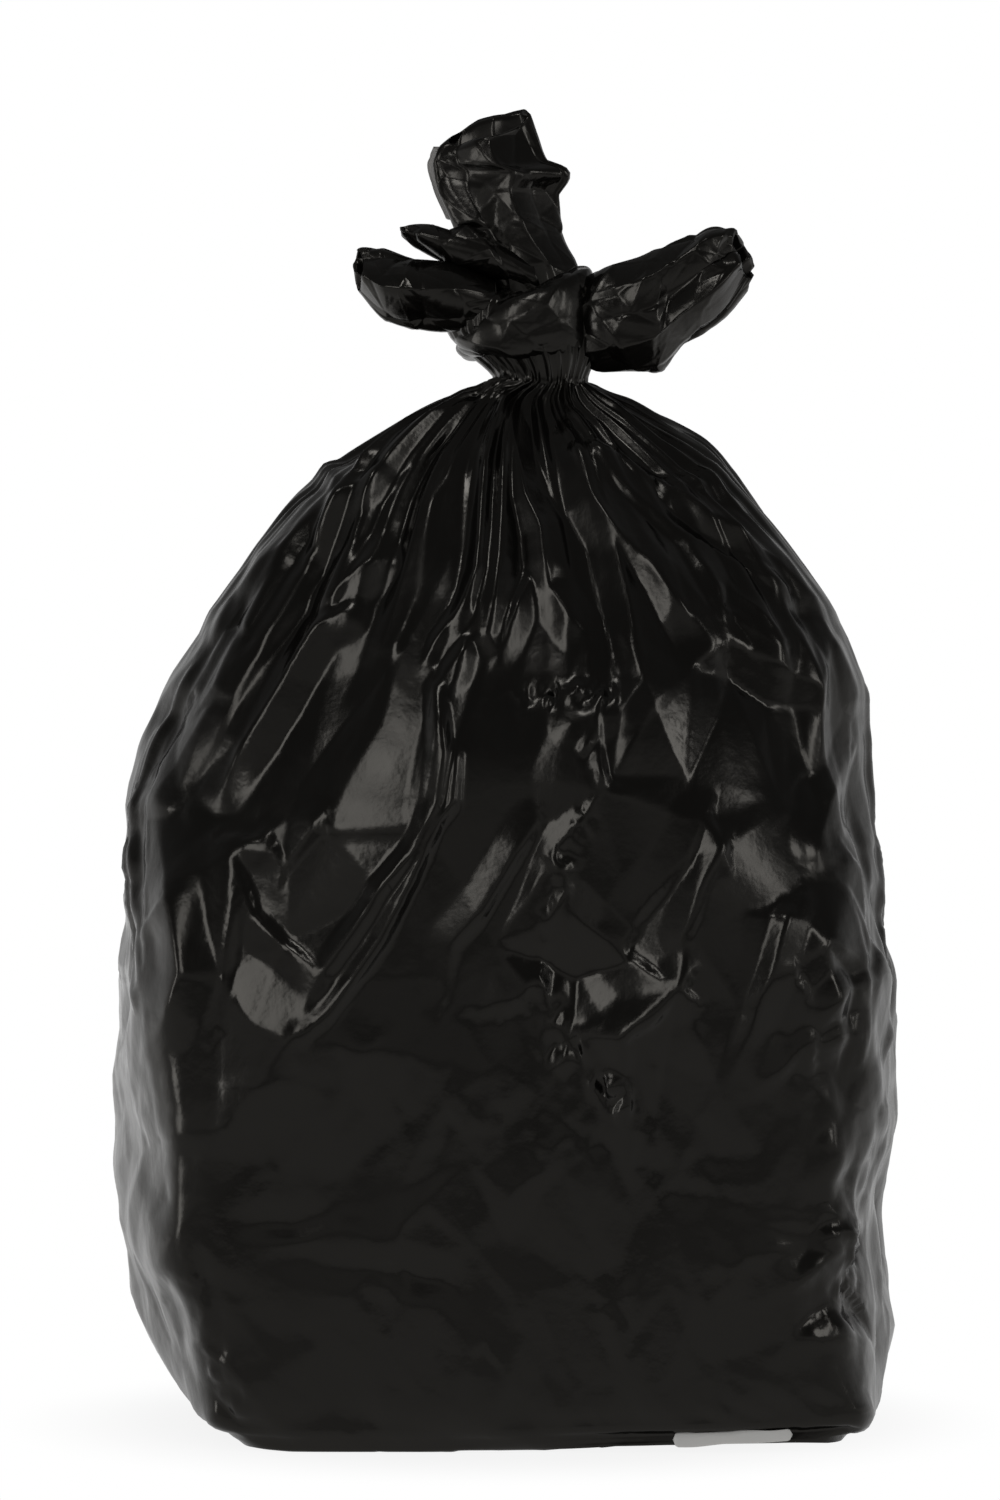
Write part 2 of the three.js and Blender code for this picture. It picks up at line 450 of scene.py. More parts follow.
@dataclass(frozen=True)
class BlownFilm:
    """Low-density polythene, blown as thin film and coloured with carbon black.

    Blowing leaves an even gloss with faint lines along the film, and handling leaves a haze in patches.
    """

    name: str = "LDPE, blown film, carbon black"
    colour: str = "#090807"
    glint: str = "#fffaf1"  # tint of what it reflects: carbon black is faintly warm
    roughness: float = 0.2
    uneven: float = 0.06  # how much rougher the haze is, and the film between less
    ior: float = 1.51
    haze_size: float = 45.0  # across a patch of haze, mm
    haze_from: float = 0.3  # noise up to this level is free of haze
    haze_to: float = 0.7  # and from this one it is all haze
    line_gap: float = 2.6  # between the blown film's lines, mm: the real ones are too fine to show
    line_depth: float = 0.12
    line_strength: float = 0.12
    line_length: float = 20.0  # how much longer the lines are than wide
    pucker_size: float = 7.0  # across the smallest puckers, mm
    pucker_depth: float = 0.4
    pucker_strength: float = 0.5
    alpha: float = 1.0

    def material(self) -> bpy.types.Material:
        """Makes the material, once.

        Returns:
            The material.
        """
        made = bpy.data.materials.get(self.name)
        if made:
            return made
        made = bpy.data.materials.new(self.name)
        made.use_nodes = True
        tree = made.node_tree
        shader = tree.nodes["Principled BSDF"]
        shader.inputs["Base Color"].default_value = linear(self.colour)
        shader.inputs["Specular Tint"].default_value = linear(self.glint)
        shader.inputs["IOR"].default_value = self.ior
        shader.inputs["Alpha"].default_value = self.alpha
        place = add_node(tree, "ShaderNodeTexCoord").outputs["Object"]
        stretch = add_node(tree, "ShaderNodeMapping", {"Scale": (1.0, 1.0, 1 / self.line_length)},
                           {"Vector": place})
        haze, lines, pucker = (
            add_node(tree, "ShaderNodeTexNoise", {"Scale": MM_IN_M / size, "Detail": detail},
                     {"Vector": source})
            for size, detail, source in (
                (self.haze_size, 3.0, place),
                (self.line_gap, 1.0, stretch.outputs["Vector"]),
                (self.pucker_size, 2.0, place),
            )
        )
        rough = add_node(
            tree, "ShaderNodeMapRange",
            {"From Min": self.haze_from, "From Max": self.haze_to,
             "To Min": self.roughness - self.uneven, "To Max": self.roughness + self.uneven},
            {"Value": haze.outputs["Fac"]},
        )
        fine = add_node(
            tree, "ShaderNodeBump",
            {"Strength": self.line_strength, "Distance": self.line_depth / MM_IN_M},
            {"Height": lines.outputs["Fac"]},
        )
        coarse = add_node(
            tree, "ShaderNodeBump",
            {"Strength": self.pucker_strength, "Distance": self.pucker_depth / MM_IN_M},
            {"Height": pucker.outputs["Fac"], "Normal": fine.outputs["Normal"]},
        )
        tree.links.new(rough.outputs["Result"], shader.inputs["Roughness"])
        tree.links.new(coarse.outputs["Normal"], shader.inputs["Normal"])
        return made


BLACK = BlownFilm()
# Film that is stretched thin goes grey and lets light through.
STRETCHED = BlownFilm(name="LDPE, blown film, stretched thin", colour="#8f8d8a", roughness=0.4, alpha=0.8)
# The strip beyond the base's weld is coloured pale as a painted sheen, for the light that it catches from the
# floor.
HEM_PAINTED_SHEEN = BlownFilm(name="LDPE, blown film, painted sheen at the weld", colour="#efeeeb", roughness=0.45)


# ---- The sack's body ----

# Height, and how far the film reaches left and right of the middle, in mm.
OUTLINE = (
    (0, 143, 186), (6, 160, 202), (14, 174, 210), (26, 184, 213), (44, 195, 217), (80, 205, 218),
    (118, 216, 214), (180, 217, 221), (242, 218, 222), (300, 221, 221), (350, 221, 213), (380, 213, 210),
    (410, 198, 208), (450, 173, 193), (495, 142, 165), (538, 109, 126), (568, 64, 82), (582, 38, 61),
    (NECK, 6, 48),
)
LEFT = [(z, left) for z, left, _ in OUTLINE]
RIGHT = [(z, right) for z, _, right in OUTLINE]
# Height, and how far the film reaches to the front and to the back, in mm.
DEPTH = (
    (0, 145), (4, 148), (10, 150), (30, 152), (70, 153), (220, 156), (365, 145), (450, 115), (538, 69),
    (568, 44), (582, 31), (NECK, 24),
)
# The gathered film inside the knot: height, reach to the left, to the right, and to the front and back.
HEART = (
    (NECK, 6, 48, 24), (600, 11, 51, 26), (610, 22, 54, 29), (621, 32, 56, 31), (634, 33, 56, 30),
    (646, 20, 50, 22),
)
NARROWEST = 4.8  # the narrowest flank that the finest grid can hold, mm
FRONT_SHARE = 0.3  # how much closer together the points are at the front than on average
ROUND_POWER = 2.2  # how square a ring is near the neck: 2 is an ellipse, more is squarer
SQUARER = 11.8  # how much squarer it is where the sack stands
SQUARE_TO_ROUND = (120, 430)  # the heights between which that changes, mm
CORNER_CUT = 0.17  # how far the sack's corners are cut back, as a share of its width
CUT_STARTS, CUT_ENDS = (-20, 60), (180, 330)  # the heights between which the cut comes in and goes, mm
RING_STEPS = 1441  # points on a ring before they are spaced evenly


class Fineness(Enum):
    """Grids for the body: rings, points round, rings under the base and rings inside the knot."""

    COARSE = (57, 110, 2, 5)
    MIDDLE = (113, 220, 4, 10)
    FINE = (225, 440, 8, 20)


@dataclass
class Packed:
    """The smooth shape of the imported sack, before it is creased, on one grid."""

    fineness: Fineness
    front_right_lift: float = 5.0  # how far the base's front edge stands off the floor on the right, mm
    closing: float = 0.15  # the share of the knot's rings that close the film inside it

    def __post_init__(self) -> None:
        """Places the grid's points."""
        self.rings, self.around, self.under, self.in_knot = self.fineness.value
        walls = [self.section(z, self.around) for z in self._heights()]
        foot, top = walls[0], walls[-1]
        centre = np.array([foot[:, 0].mean(), 0.0, 0.0])
        base = [centre + (foot - centre) * (i / self.under) for i in range(self.under)]
        heart = np.array(HEART)
        knot = []
        for i in range(1, self.in_knot + 1):
            z = NECK + (heart[-1, 0] - NECK) * min(1.0, (1 + self.closing) * i / self.in_knot)
            left, right, depth = (float(through(heart[:, (0, n)], z)) for n in (1, 2, 3))
            shrink = min(1.0, (self.in_knot - i) / (self.closing * self.in_knot))
            wider, deeper = (left + right) / (heart[0, 1] + heart[0, 2]), depth / heart[0, 3]
            ring = (top - (NECK_X, 0, 0)) * (wider, deeper, 0) * shrink
            knot.append(ring + ((right - left) / 2, 0, z))
        self.points = np.array(base + walls + knot)
        x, y, z = np.moveaxis(self.points, 2, 0)
        rise = self.front_right_lift * ramp(x, -60, 170) * ramp(-y, 60, 145)
        self.points[..., 2] += rise * (1 - ramp(z, 0, 50))
        self.normal = outward(self.points)
        self.height = self.points[..., 2]
        step = np.linalg.norm(np.roll(self.points, -1, axis=1) - self.points, axis=2)
        self.gather = np.clip(step.sum(axis=1) / GIRTH, 0, 1)[:, None]  # 1 where the film isn't gathered
        self.is_wall = np.zeros(self.rings, bool)
        self.is_wall[self.under: self.rings - self.in_knot] = True

    @staticmethod
    def section(z: float, around: int) -> Array:
        """One ring of the sack's outline from above, from the right-hand side counterclockwise.

        Args:
            z: Height in mm.
            around: Points in the ring, evenly along the film.

        Returns:
            (around, 3) places.
        """
        left, right, depth = (float(through(reach, z)) for reach in (LEFT, RIGHT, DEPTH))
        width, middle = (left + right) / 2, (right - left) / 2
        power = ROUND_POWER + SQUARER * (1 - float(ramp(z, *SQUARE_TO_ROUND))) ** 2
        bevel = CORNER_CUT * float(ramp(z, *CUT_STARTS)) * (1 - float(ramp(z, *CUT_ENDS)))
        angle = np.linspace(0, 2 * np.pi, RING_STEPS)
        across, deep = np.abs(np.cos(angle) / width), np.abs(np.sin(angle) / depth)
        reach = (across ** power + deep ** power) ** (-1 / power)
        y = reach * np.sin(angle)
        x = reach * np.cos(angle) * (1 - bevel * np.abs(y / depth) ** 1.4) + middle
        run = np.concatenate([[0], np.cumsum(np.hypot(np.diff(x), np.diff(y)))])
        share = np.arange(around) / around
        at = (share + FRONT_SHARE * (1 - np.cos(2 * np.pi * share)) / (2 * np.pi)) * run[-1]
        return np.stack([np.interp(at, run, x), np.interp(at, run, y), np.full(around, float(z))], axis=-1)

    def _heights(self) -> Array:
        """Spaces the wall's rings evenly along the film.

        Returns:
            Their heights, mm.
        """
        z = np.linspace(0, NECK, 1200)
        reach = (through(LEFT, z) + through(RIGHT, z)) / 2
        slant = (np.diff(reach) ** 2 + np.diff(through(DEPTH, z)) ** 2) / 2
        run = np.concatenate([[0], np.cumsum(np.sqrt(np.diff(z) ** 2 + slant))])
        return np.interp(np.linspace(0, run[-1], self.rings - self.under - self.in_knot), run, z)


@dataclass(frozen=True)
class Face:
    """A side of the sack that a set of ridges is laid on.

    The ridges are stretched and moved, so that two faces don't look the same.
    """

    toward: tuple  # the way that the face looks, from above
    stretch: tuple = (1.0, 1.0)  # across and up
    move: tuple = (0.0, 0.0)  # across and up, mm
    strength: float = 1.0

    def places(self, packed: Packed) -> tuple[Array, Array, Array]:
        """Where the points of a grid lie on this face.

        Args:
            packed: The grid.

        Returns:
            Places across and up in the ridges' terms, and how much the face holds of each point.
        """
        x, y = packed.points[..., 0], packed.points[..., 1]
        across = -self.toward[1] * x + self.toward[0] * y
        level = packed.normal[..., :2]
        level = level / np.maximum(np.linalg.norm(level, axis=2, keepdims=True), 1e-6)
        facing = ramp(level @ np.array(self.toward), 0.35, 0.8)
        hold = 1.0 * (y < 0) if self is FRONT else self.strength * facing
        up = (packed.height - self.move[1]) / self.stretch[1]
        return (across - self.move[0]) / self.stretch[0], up, hold * packed.is_wall[:, None]


FRONT = Face((0.0, -1.0))
BACK = Face((0.0, 1.0), (-1.08, 0.94), (-12.0, 6.0))
RIGHT_SIDE = Face((1.0, 0.0), (0.86, 1.06), (8.0, -30.0), 0.6)
LEFT_SIDE = Face((-1.0, 0.0), (-0.8, 0.98), (20.0, 18.0), 0.5)


@dataclass
class Ridge:
    """A crest in the front film.

    Points are (across, up) from the middle of the base, in mm, with a height at each.
    A ridge with a width has flanks of that width; one without is a fixed edge between flat facets.
    """

    points: tuple
    heights: tuple
    width: float = 0.0
    other: float = 0.0  # the right-hand flank's width, where it differs


CREST = (
    # long fold left of the middle, from the neck to the top of the kite
    Ridge(((-2, 589), (-28, 545), (-38, 521), (-47, 472), (-65, 425), (-77, 402)),
          (4, 9, 10, 9, 5, 1), 22, 10),
    # pocket fold with a V-shaped foot
    Ridge(((-4, 562), (-9, 545), (-14, 484), (-23, 464), (-36, 447), (-45, 432)), (5, 7, 8, 8, 7, 4), 8, 8),
    Ridge(((-45, 432), (-34, 425), (-20, 440)), (4, 3, 4), 8),
    # spindle folds in the middle
    Ridge(((1, 591), (-1, 514), (-2, 492), (-5, 467), (-8, 449), (-3, 435)), (6, 9, 11, 10, 7, 2), 9, 9),
    Ridge(((-3, 435), (8, 466), (14, 480)), (3, 7, 4), 7),
    Ridge(((2, 584), (7, 551), (12, 526), (20, 509), (23, 489), (25, 477)), (4, 7, 10, 11, 10, 6), 9),
    Ridge(((25, 477), (38, 458), (51, 445)), (6, 5, 2), 9),
    # right-hand folds
    Ridge(((47, 561), (58, 517), (68, 472), (71, 450), (76, 424)), (4, 8, 9, 9, 4), 12, 9),
    Ridge(((76, 422), (64, 408), (39, 401)), (4, 4, 2), 9),
    Ridge(((39, 561), (49, 526), (63, 504), (81, 486), (95, 465), (112, 448)), (5, 8, 11, 12, 9, 3), 16, 10),
    Ridge(((103, 501), (112, 484), (117, 475), (122, 453)), (5, 8, 8, 2), 9),
    Ridge(((61, 538), (81, 521), (102, 504)), (4, 5, 5), 7),
    Ridge(((47, 553), (63, 550), (78, 540), (91, 533)), (5, 6, 6, 4), 6),
    Ridge(((115, 536), (95, 529), (115, 514), (134, 502), (149, 489), (166, 470), (178, 463)),
          (5, 4, 8, 10, 10, 9, 6), 9, 7),
    Ridge(((110, 502), (134, 486), (154, 472)), (3, 6, 4), 5),
    Ridge(((120, 479), (139, 459), (158, 435)), (4, 8, 2), 8),
    Ridge(((125, 460), (149, 441)), (3, 2), 5),
    Ridge(((171, 446), (174, 428), (175, 404), (172, 377)), (6, 8, 6, 3), 9),
    Ridge(((184, 440), (196, 416)), (6, 5), 7),
    Ridge(((197, 386), (176, 357), (171, 336)), (6, 9, 5), 10),
    # left shoulder
    Ridge(((-66, 490), (-78, 484), (-95, 466)), (5, 7, 5), 9),
    Ridge(((-86, 461), (-103, 450), (-117, 430), (-127, 413), (-144, 388), (-157, 364)),
          (4, 9, 10, 10, 8, 3), 8),
    Ridge(((-70, 535), (-87, 522), (-100, 503), (-105, 496)), (6, 9, 6, 3), 8),
    Ridge(((-100, 543), (-92, 535), (-82, 535)), (6, 4, 3), 8),
    Ridge(((-107, 516), (-140, 477), (-161, 460)), (5, 9, 8), 10),
    Ridge(((-124, 484), (-140, 452)), (4, 6), 8),
    Ridge(((-147, 442), (-157, 418), (-174, 403)), (5, 7, 3), 8),
    Ridge(((-152, 450), (-173, 420)), (5, 5), 6),
    Ridge(((-162, 406), (-195, 361)), (5, 7), 9),
    Ridge(((-20, 578), (-50, 560), (-72, 542)), (5, 8, 7), 9),
    # the long double crease beside the kite
    Ridge(((-36, 418), (-33, 383), (-36, 357), (-50, 329), (-65, 312), (-83, 285), (-97, 266)),
          (5, 8, 8, 8, 8, 6, 3), 6, 9),
    Ridge(((-26, 383), (-28, 357), (-36, 348), (-50, 317), (-67, 283), (-81, 263), (-97, 241), (-110, 231)),
          (5, 7, 8, 8, 8, 8, 6, 4), 6, 9),
    Ridge(((-93, 342), (-54, 343)), (2, 2), 4),
    # triangle under the kite
    Ridge(((-149, 329), (-148, 300), (-154, 263), (-157, 234)), (4, 5, 5, 2), 5),
    Ridge(((-147, 321), (-139, 297), (-124, 283), (-100, 264)), (4, 4, 6, 3), 5),
    Ridge(((-149, 337), (-127, 332), (-124, 320), (-103, 344)), (5, 5, 2, 4), 5),
    # middle diagonal facet
    Ridge(((17, 345), (8, 332), (-13, 297), (-28, 281), (-33, 251)), (3, 6, 7, 6, 3), 6, 16),
    Ridge(((-13, 244), (8, 250), (15, 258)), (2, 5, 4), 6),
    # star on the right
    Ridge(((109, 346), (98, 324), (86, 310), (74, 297), (71, 288)), (5, 5, 5, 5, 5), 6),
    Ridge(((71, 271), (81, 263), (96, 256), (81, 241), (64, 229), (51, 234)), (4, 5, 5, 5, 4, 2), 6),
    Ridge(((109, 346), (118, 329), (108, 310), (101, 287)), (5, 5, 5, 3), 5),
    Ridge(((158, 300), (153, 292), (147, 268), (138, 241), (125, 209)), (3, 5, 6, 5, 1), 8, 5),
    Ridge(((162, 255), (169, 228), (149, 209), (135, 199)), (4, 5, 4, 1), 6),
    Ridge(((177, 244), (189, 255), (209, 261)), (6, 8, 6), 8),
    Ridge(((169, 223), (192, 229), (199, 204), (204, 196)), (4, 8, 7, 5), 8),
    Ridge(((204, 178), (184, 163), (179, 151)), (6, 7, 3), 9),
    Ridge(((207, 163), (194, 146), (196, 133)), (5, 5, 3), 7),
    Ridge(((-194, 342), (-186, 317), (-174, 263), (-186, 233), (-194, 219)), (3, 5, 9, 6, 2), 10),
    # faint creases of the lower front
    Ridge(((-144, 205), (-112, 204)), (1.5, 1.2), 5),
    Ridge(((-178, 173), (-134, 183)), (1.5, 1), 6),
    Ridge(((-139, 128), (-115, 126), (-90, 136)), (-1, -3, -1), 7),
    Ridge(((-115, 107), (-60, 102), (-26, 92)), (-1, -4, -1), 9),
    Ridge(((184, 121), (160, 129), (128, 131)), (2.4, 1.8, 0.4), 5),
    Ridge(((184, 117), (150, 112), (112, 101)), (2.4, 1.8, 0.4), 5),
    Ridge(((183, 111), (158, 92), (136, 82)), (2.2, 1.8, 0.4), 5),
    Ridge(((185, 107), (174, 84), (168, 62)), (2.2, 1.6, 0.4), 5),
    Ridge(((-168, 96), (-150, 84), (-128, 80)), (1.6, 1.0, 0.3), 5),
    Ridge(((-166, 58), (-146, 52), (-120, 54)), (1.8, 1.0, 0.3), 5),
)

CRINKLED = (
    # where the film is crushed into small facets; a height is theirs, and a width is the patch's reach
    Ridge(((12, 418), (34, 417), (55, 416)), (1.4, 1.6, 1.4), 9),
    Ridge(((47, 386), (53, 371)), (1.2, 1.0), 8),
    Ridge(((41, 345), (34, 330), (26, 305), (24, 280), (22, 255), (26, 232), (36, 218), (62, 196)),
          (0.7, 0.9, 0.9, 1.0, 1.2, 1.5, 1.8, 1.6), 14),
    Ridge(((-140, 180), (-60, 186), (20, 180), (70, 168), (100, 150)), (0.1, 0.14, 0.3, 0.3, 0.14), 26),
    Ridge(((-166, 104), (-160, 72), (-156, 44), (-146, 24)), (0.8, 1.0, 1.3, 1.0), 10),
    Ridge(((176, 128), (190, 112), (186, 92)), (1.0, 1.5, 0.9), 11),
)

FACETS = (
    # kite
    Ridge(((-68, 398), (-40, 408), (-34, 416)), (1.5, 2.2, 2.6)),
    Ridge(((-68, 398), (-87, 366), (-95, 347)), (1.5, 1.5, 1.5)),
    Ridge(((-95, 347), (-45, 349)), (1.5, 3.5)),
    Ridge(((-34, 416), (-37, 383), (-45, 349), (-66, 305), (-97, 262)), (2.6, 2.8, 3.5, 4.5, 3)),
    # folds left of the kite
    Ridge(((-84, 408), (-108, 376), (-118, 350)), (-2.5, -3.5, -2.5)),
    Ridge(((-100, 425), (-124, 386), (-136, 350)), (-1.5, -4.5, -3.5)),
    Ridge(((-122, 425), (-146, 390), (-160, 350)), (-2, -3, -3)),
    # flat film right of the kite
    Ridge(((6, 412), (14, 374), (20, 344)), (0.5, 0.5, 0.5)),
    # triangle under the kite
    Ridge(((-149, 329), (-139, 297), (-120, 281), (-100, 264)), (0, -3, -3, 3)),
    Ridge(((-149, 329), (-156, 263), (-157, 234)), (0, -1, 0)),
    Ridge(((-157, 234), (-137, 236), (-117, 228), (-100, 264)), (0, 4, 8, 3)),
    # star
    Ridge(((109, 346), (71, 288), (71, 271), (96, 256)), (5, -3, -1, 7)),
    Ridge(((71, 271), (40, 262), (36, 231), (64, 229), (96, 256)), (-1, -5, 1, 8, 7)),
    # ragged edge on the right
    Ridge(((192, 262), (199, 235), (186, 205), (202, 180), (185, 150), (199, 120), (184, 95), (198, 70)),
          (-4, 3, -5, 4, -4, 3, -5, 2)),
    # pale facet beside the star
    Ridge(((118, 329), (152, 349), (170, 353)), (7, 6, 5)),
    Ridge(((101, 287), (130, 297), (157, 302), (165, 331), (170, 353)), (5, 3.5, 2, 3.5, 5)),
    Ridge(((162, 292), (174, 278), (209, 268)), (5, 6, 4)),
    # right flank
    Ridge(((160, 468), (180, 446), (194, 420)), (2, 6, 3)),
    Ridge(((180, 446), (172, 402), (166, 374)), (6, 1, 4)),
    Ridge(((200, 390), (182, 352), (164, 314)), (1, 7, 2)),
    # left shoulder
    Ridge(((-108, 512), (-118, 496), (-100, 480), (-94, 462)), (3, 6, 1, 4)),
    Ridge(((-132, 486), (-150, 456), (-146, 430)), (4, 0, 5)),
    # pocket at the lower right corner
    Ridge(((157, 89), (184, 119), (198, 126)), (1, 4, 2)),
    Ridge(((157, 89), (176, 80), (195, 74)), (1, -4, -6)),
    Ridge(((160, 66), (184, 62), (200, 54)), (1.5, 4, 4)),
    # fold at the lower left corner
    Ridge(((-178, 46), (-162, 32), (-146, 16)), (-3, -5, -2)),
    Ridge(((-162, 62), (-142, 38), (-126, 18)), (2, 3, 1)),
    # broad dim facets
    Ridge(((122, 450), (103, 430), (81, 409), (59, 369)), (4, 3, 6, 3)),
    Ridge(((54, 363), (28, 330), (-5, 280)), (5, 4, 1)),
    Ridge(((54, 363), (100, 368), (149, 358)), (4, 4, 5.5)),
    Ridge(((123, 445), (147, 432), (171, 418)), (4, 5, 5)),
    Ridge(((127, 426), (147, 412), (169, 408)), (-2, -3, 0)),
)


@dataclass
class FacetSheet:
    """Flat facets with sharp edges between them: points of the flat film with heights, in triangles."""

    points: Array  # (n, 2): places on the flat film, mm
    lifts: Array  # (n,): heights, mm
    edges: list = field(default_factory=list)  # pairs of points that a facet's edge joins

    def __post_init__(self) -> None:
        """Makes the triangles."""
        made = delaunay_2d_cdt([tuple(p) for p in self.points], self.edges, [], 0, 0.01)
        self.corners = np.array([tuple(p) for p in made[0]])
        self.corner_lifts = np.empty(len(self.corners))
        for i, sources in enumerate(made[3]):
            # Where two fixed edges cross there is a new corner, at its nearest neighbours' height.
            near = sources[:1] or np.argsort(np.hypot(*(self.points - self.corners[i]).T))[:3]
            self.corner_lifts[i] = self.lifts[near].mean()
        self.triangles = [face[:3] for face in made[2]]

    def over(self, u: Array, v: Array) -> Array:
        """Heights over a grid.

        Args:
            u: Places of the grid's columns.
            v: Places of its rows.

        Returns:
            A (rows, columns) array, zero outside the sheet.
        """
        lifted = np.zeros((len(v), len(u)))
        for triangle in self.triangles:
            a, b, c = self.corners[triangle]
            low, high = np.min([a, b, c], axis=0), np.max([a, b, c], axis=0)
            rows = np.nonzero((v >= low[1]) & (v <= high[1]))[0]
            columns = np.nonzero((u >= low[0]) & (u <= high[0]))[0]
            area = (b[1] - c[1]) * (a[0] - c[0]) + (c[0] - b[0]) * (a[1] - c[1])
            if not len(rows) or not len(columns) or abs(area) < TINY:
                continue
            du, dv = u[columns][None, :] - c[0], v[rows][:, None] - c[1]
            at_a = ((b[1] - c[1]) * du + (c[0] - b[0]) * dv) / area
            at_b = ((c[1] - a[1]) * du + (a[0] - c[0]) * dv) / area
            at_c = 1 - at_a - at_b
            inside = (at_a >= -1e-6) & (at_b >= -1e-6) & (at_c >= -1e-6)
            value = np.stack([at_a, at_b, at_c], axis=-1) @ self.corner_lifts[triangle]
            block = np.ix_(rows, columns)
            lifted[block] = np.where(inside, value, lifted[block])
        return lifted


@dataclass(frozen=True)
class Crumple:
    """Loose random facets: how far apart their corners are, and how high."""

    gap_round: float  # mm
    gap_along: float
    height: float


def crumples(u: Array, v: Array, girth: float, kind: Crumple, seed: int) -> Array:
    """Loose random facets over a grid that is closed round.

    Args:
        u: Places of the grid's columns, mm, from 0 to the girth.
        v: Places of its rows, mm.
        girth: Once round, mm.
        kind: The facets' spacing and height.
        seed: Seed of the random numbers.

    Returns:
        A (rows, columns) array of heights, mm.
    """
    rng = np.random.default_rng(seed)
    count = max(3, round(girth / kind.gap_round))
    points, lifts = [], []
    for i, along in enumerate(np.arange(v[0] - kind.gap_along, v[-1] + 2 * kind.gap_along, kind.gap_along)):
        for j in range(count):
            place = ((j + 0.5 * (i % 2)) * girth / count + 0.25 * kind.gap_round * rng.normal()) % girth
            points.append((place, along + 0.22 * kind.gap_along * rng.normal()))
            lifts.append(kind.height * rng.normal())
    points, lifts = np.array(points), np.array(lifts)
    low, high = points[:, 0] < 3 * kind.gap_round, points[:, 0] > girth - 3 * kind.gap_round
    points = np.concatenate([points, points[low] + (girth, 0), points[high] - (girth, 0)])
    lifts = np.concatenate([lifts, lifts[low], lifts[high]])
    return FacetSheet(points, lifts).over(u, v)


@dataclass
class CreaseNet:
    """Flat facets with sharp edges between them, all round the sack.

    The front's facets are listed one by one. The rest is a loose lattice of lumps and hollows.
    """

    step: float = 70.0  # spacing of the lattice, mm
    row_step: float = 0.7  # spacing of its rows, as a share of that
    lowest: float = 14.0  # height of its first row
    stray_round: float = 13.0  # how far its points are off their places
    stray_up: float = 9.0
    clearance: float = 34.0  # the least distance from a lattice point to a listed one, mm
    by_hand: float = 1.5  # the listed facets' height, as a share of what the table says
    flat_front: float = 0.5  # the lattice's height low on the front, which the waste presses flat, mm
    flat_foot: float = 2.6  # its height at the foot elsewhere
    foot_rise: float = 2.2  # how much higher it is above the foot
    belly: float = 4.5  # its height where the sack is widest
    seed: int = 7

    def __post_init__(self) -> None:
        """Lays out the net's points in film places: along the girth, and height."""
        self.points: list = []
        self.lifts: list = []
        self.edges: list = []
        for line in FACETS:
            first = len(self.points)
            for (x, z), lift in zip(line.points, line.heights):
                self.points.append((self.film_place(x, z), z))
                self.lifts.append(self.by_hand * lift)
            self.edges += [(i, i + 1) for i in range(first, len(self.points) - 1)]
        self._scatter()
        self._close()

    @staticmethod
    def film_place(x: float, z: float) -> float:
        """Finds a point of the front on the flat film.

        Args:
            x: Place across, mm.
            z: Height, mm.

        Returns:
            Its place along the girth, mm.
        """
        ring = Packed.section(z, 720)
        front = np.nonzero(ring[:, 1] < 0)[0]
        return float(np.interp(x, ring[front, 0], front)) / len(ring) * GIRTH

    def _scatter(self) -> None:
        """Adds the lattice's points wherever the listed ones leave room."""
        rng = np.random.default_rng(self.seed)
        fixed = np.array(self.points)
        count = int(GIRTH // self.step)
        for i, z in enumerate(np.arange(self.lowest, NECK, self.step * self.row_step)):
            for j in range(count):
                u = ((j + 0.5 * (i % 2)) * GIRTH / count + rng.normal() * self.stray_round) % GIRTH
                v = z + rng.normal() * self.stray_up
                on_front = 0.54 < u / GIRTH < 0.96 and v > 40
                foot = self.flat_foot + self.foot_rise * float(ramp(v, 40, 90))
                flat = self.flat_front if on_front else foot
                rise, fall = float(ramp(v, 150, 260)), float(ramp(v, 350, 430))
                lift = rng.normal() * (flat + (self.belly - flat) * rise * (1 - fall))
                if 8 < v < NECK - 4 and np.hypot(*(fixed - (u, v)).T).min() > self.clearance:
                    self.points.append((u, v))
                    self.lifts.append(lift)

    def _close(self) -> None:
        """Adds copies past both ends, so that the net closes round, and a rim at the top and the bottom."""
        points, lifts = np.array(self.points), np.array(self.lifts)
        margin = 3 * self.step
        low, high = points[:, 0] < margin, points[:, 0] > GIRTH - margin
        rim = [(u, v) for u in np.linspace(-margin, GIRTH + margin, 40) for v in (0.0, NECK)]
        points = np.concatenate([points, points[low] + (GIRTH, 0), points[high] - (GIRTH, 0), rim])
        lifts = np.concatenate([lifts, lifts[low], lifts[high], np.zeros(len(rim))])
        self.sheet = FacetSheet(points, lifts, self.edges)

    def lift(self, packed: Packed) -> Array:
        """How far the net lifts each point of a grid, in mm.

        Args:
            packed: The grid.

        Returns:
            A (rings, around) array, zero off the walls.
        """
        u = np.arange(packed.around) / packed.around * GIRTH
        return self.sheet.over(u, np.where(packed.is_wall, packed.height[:, 0], -1.0))


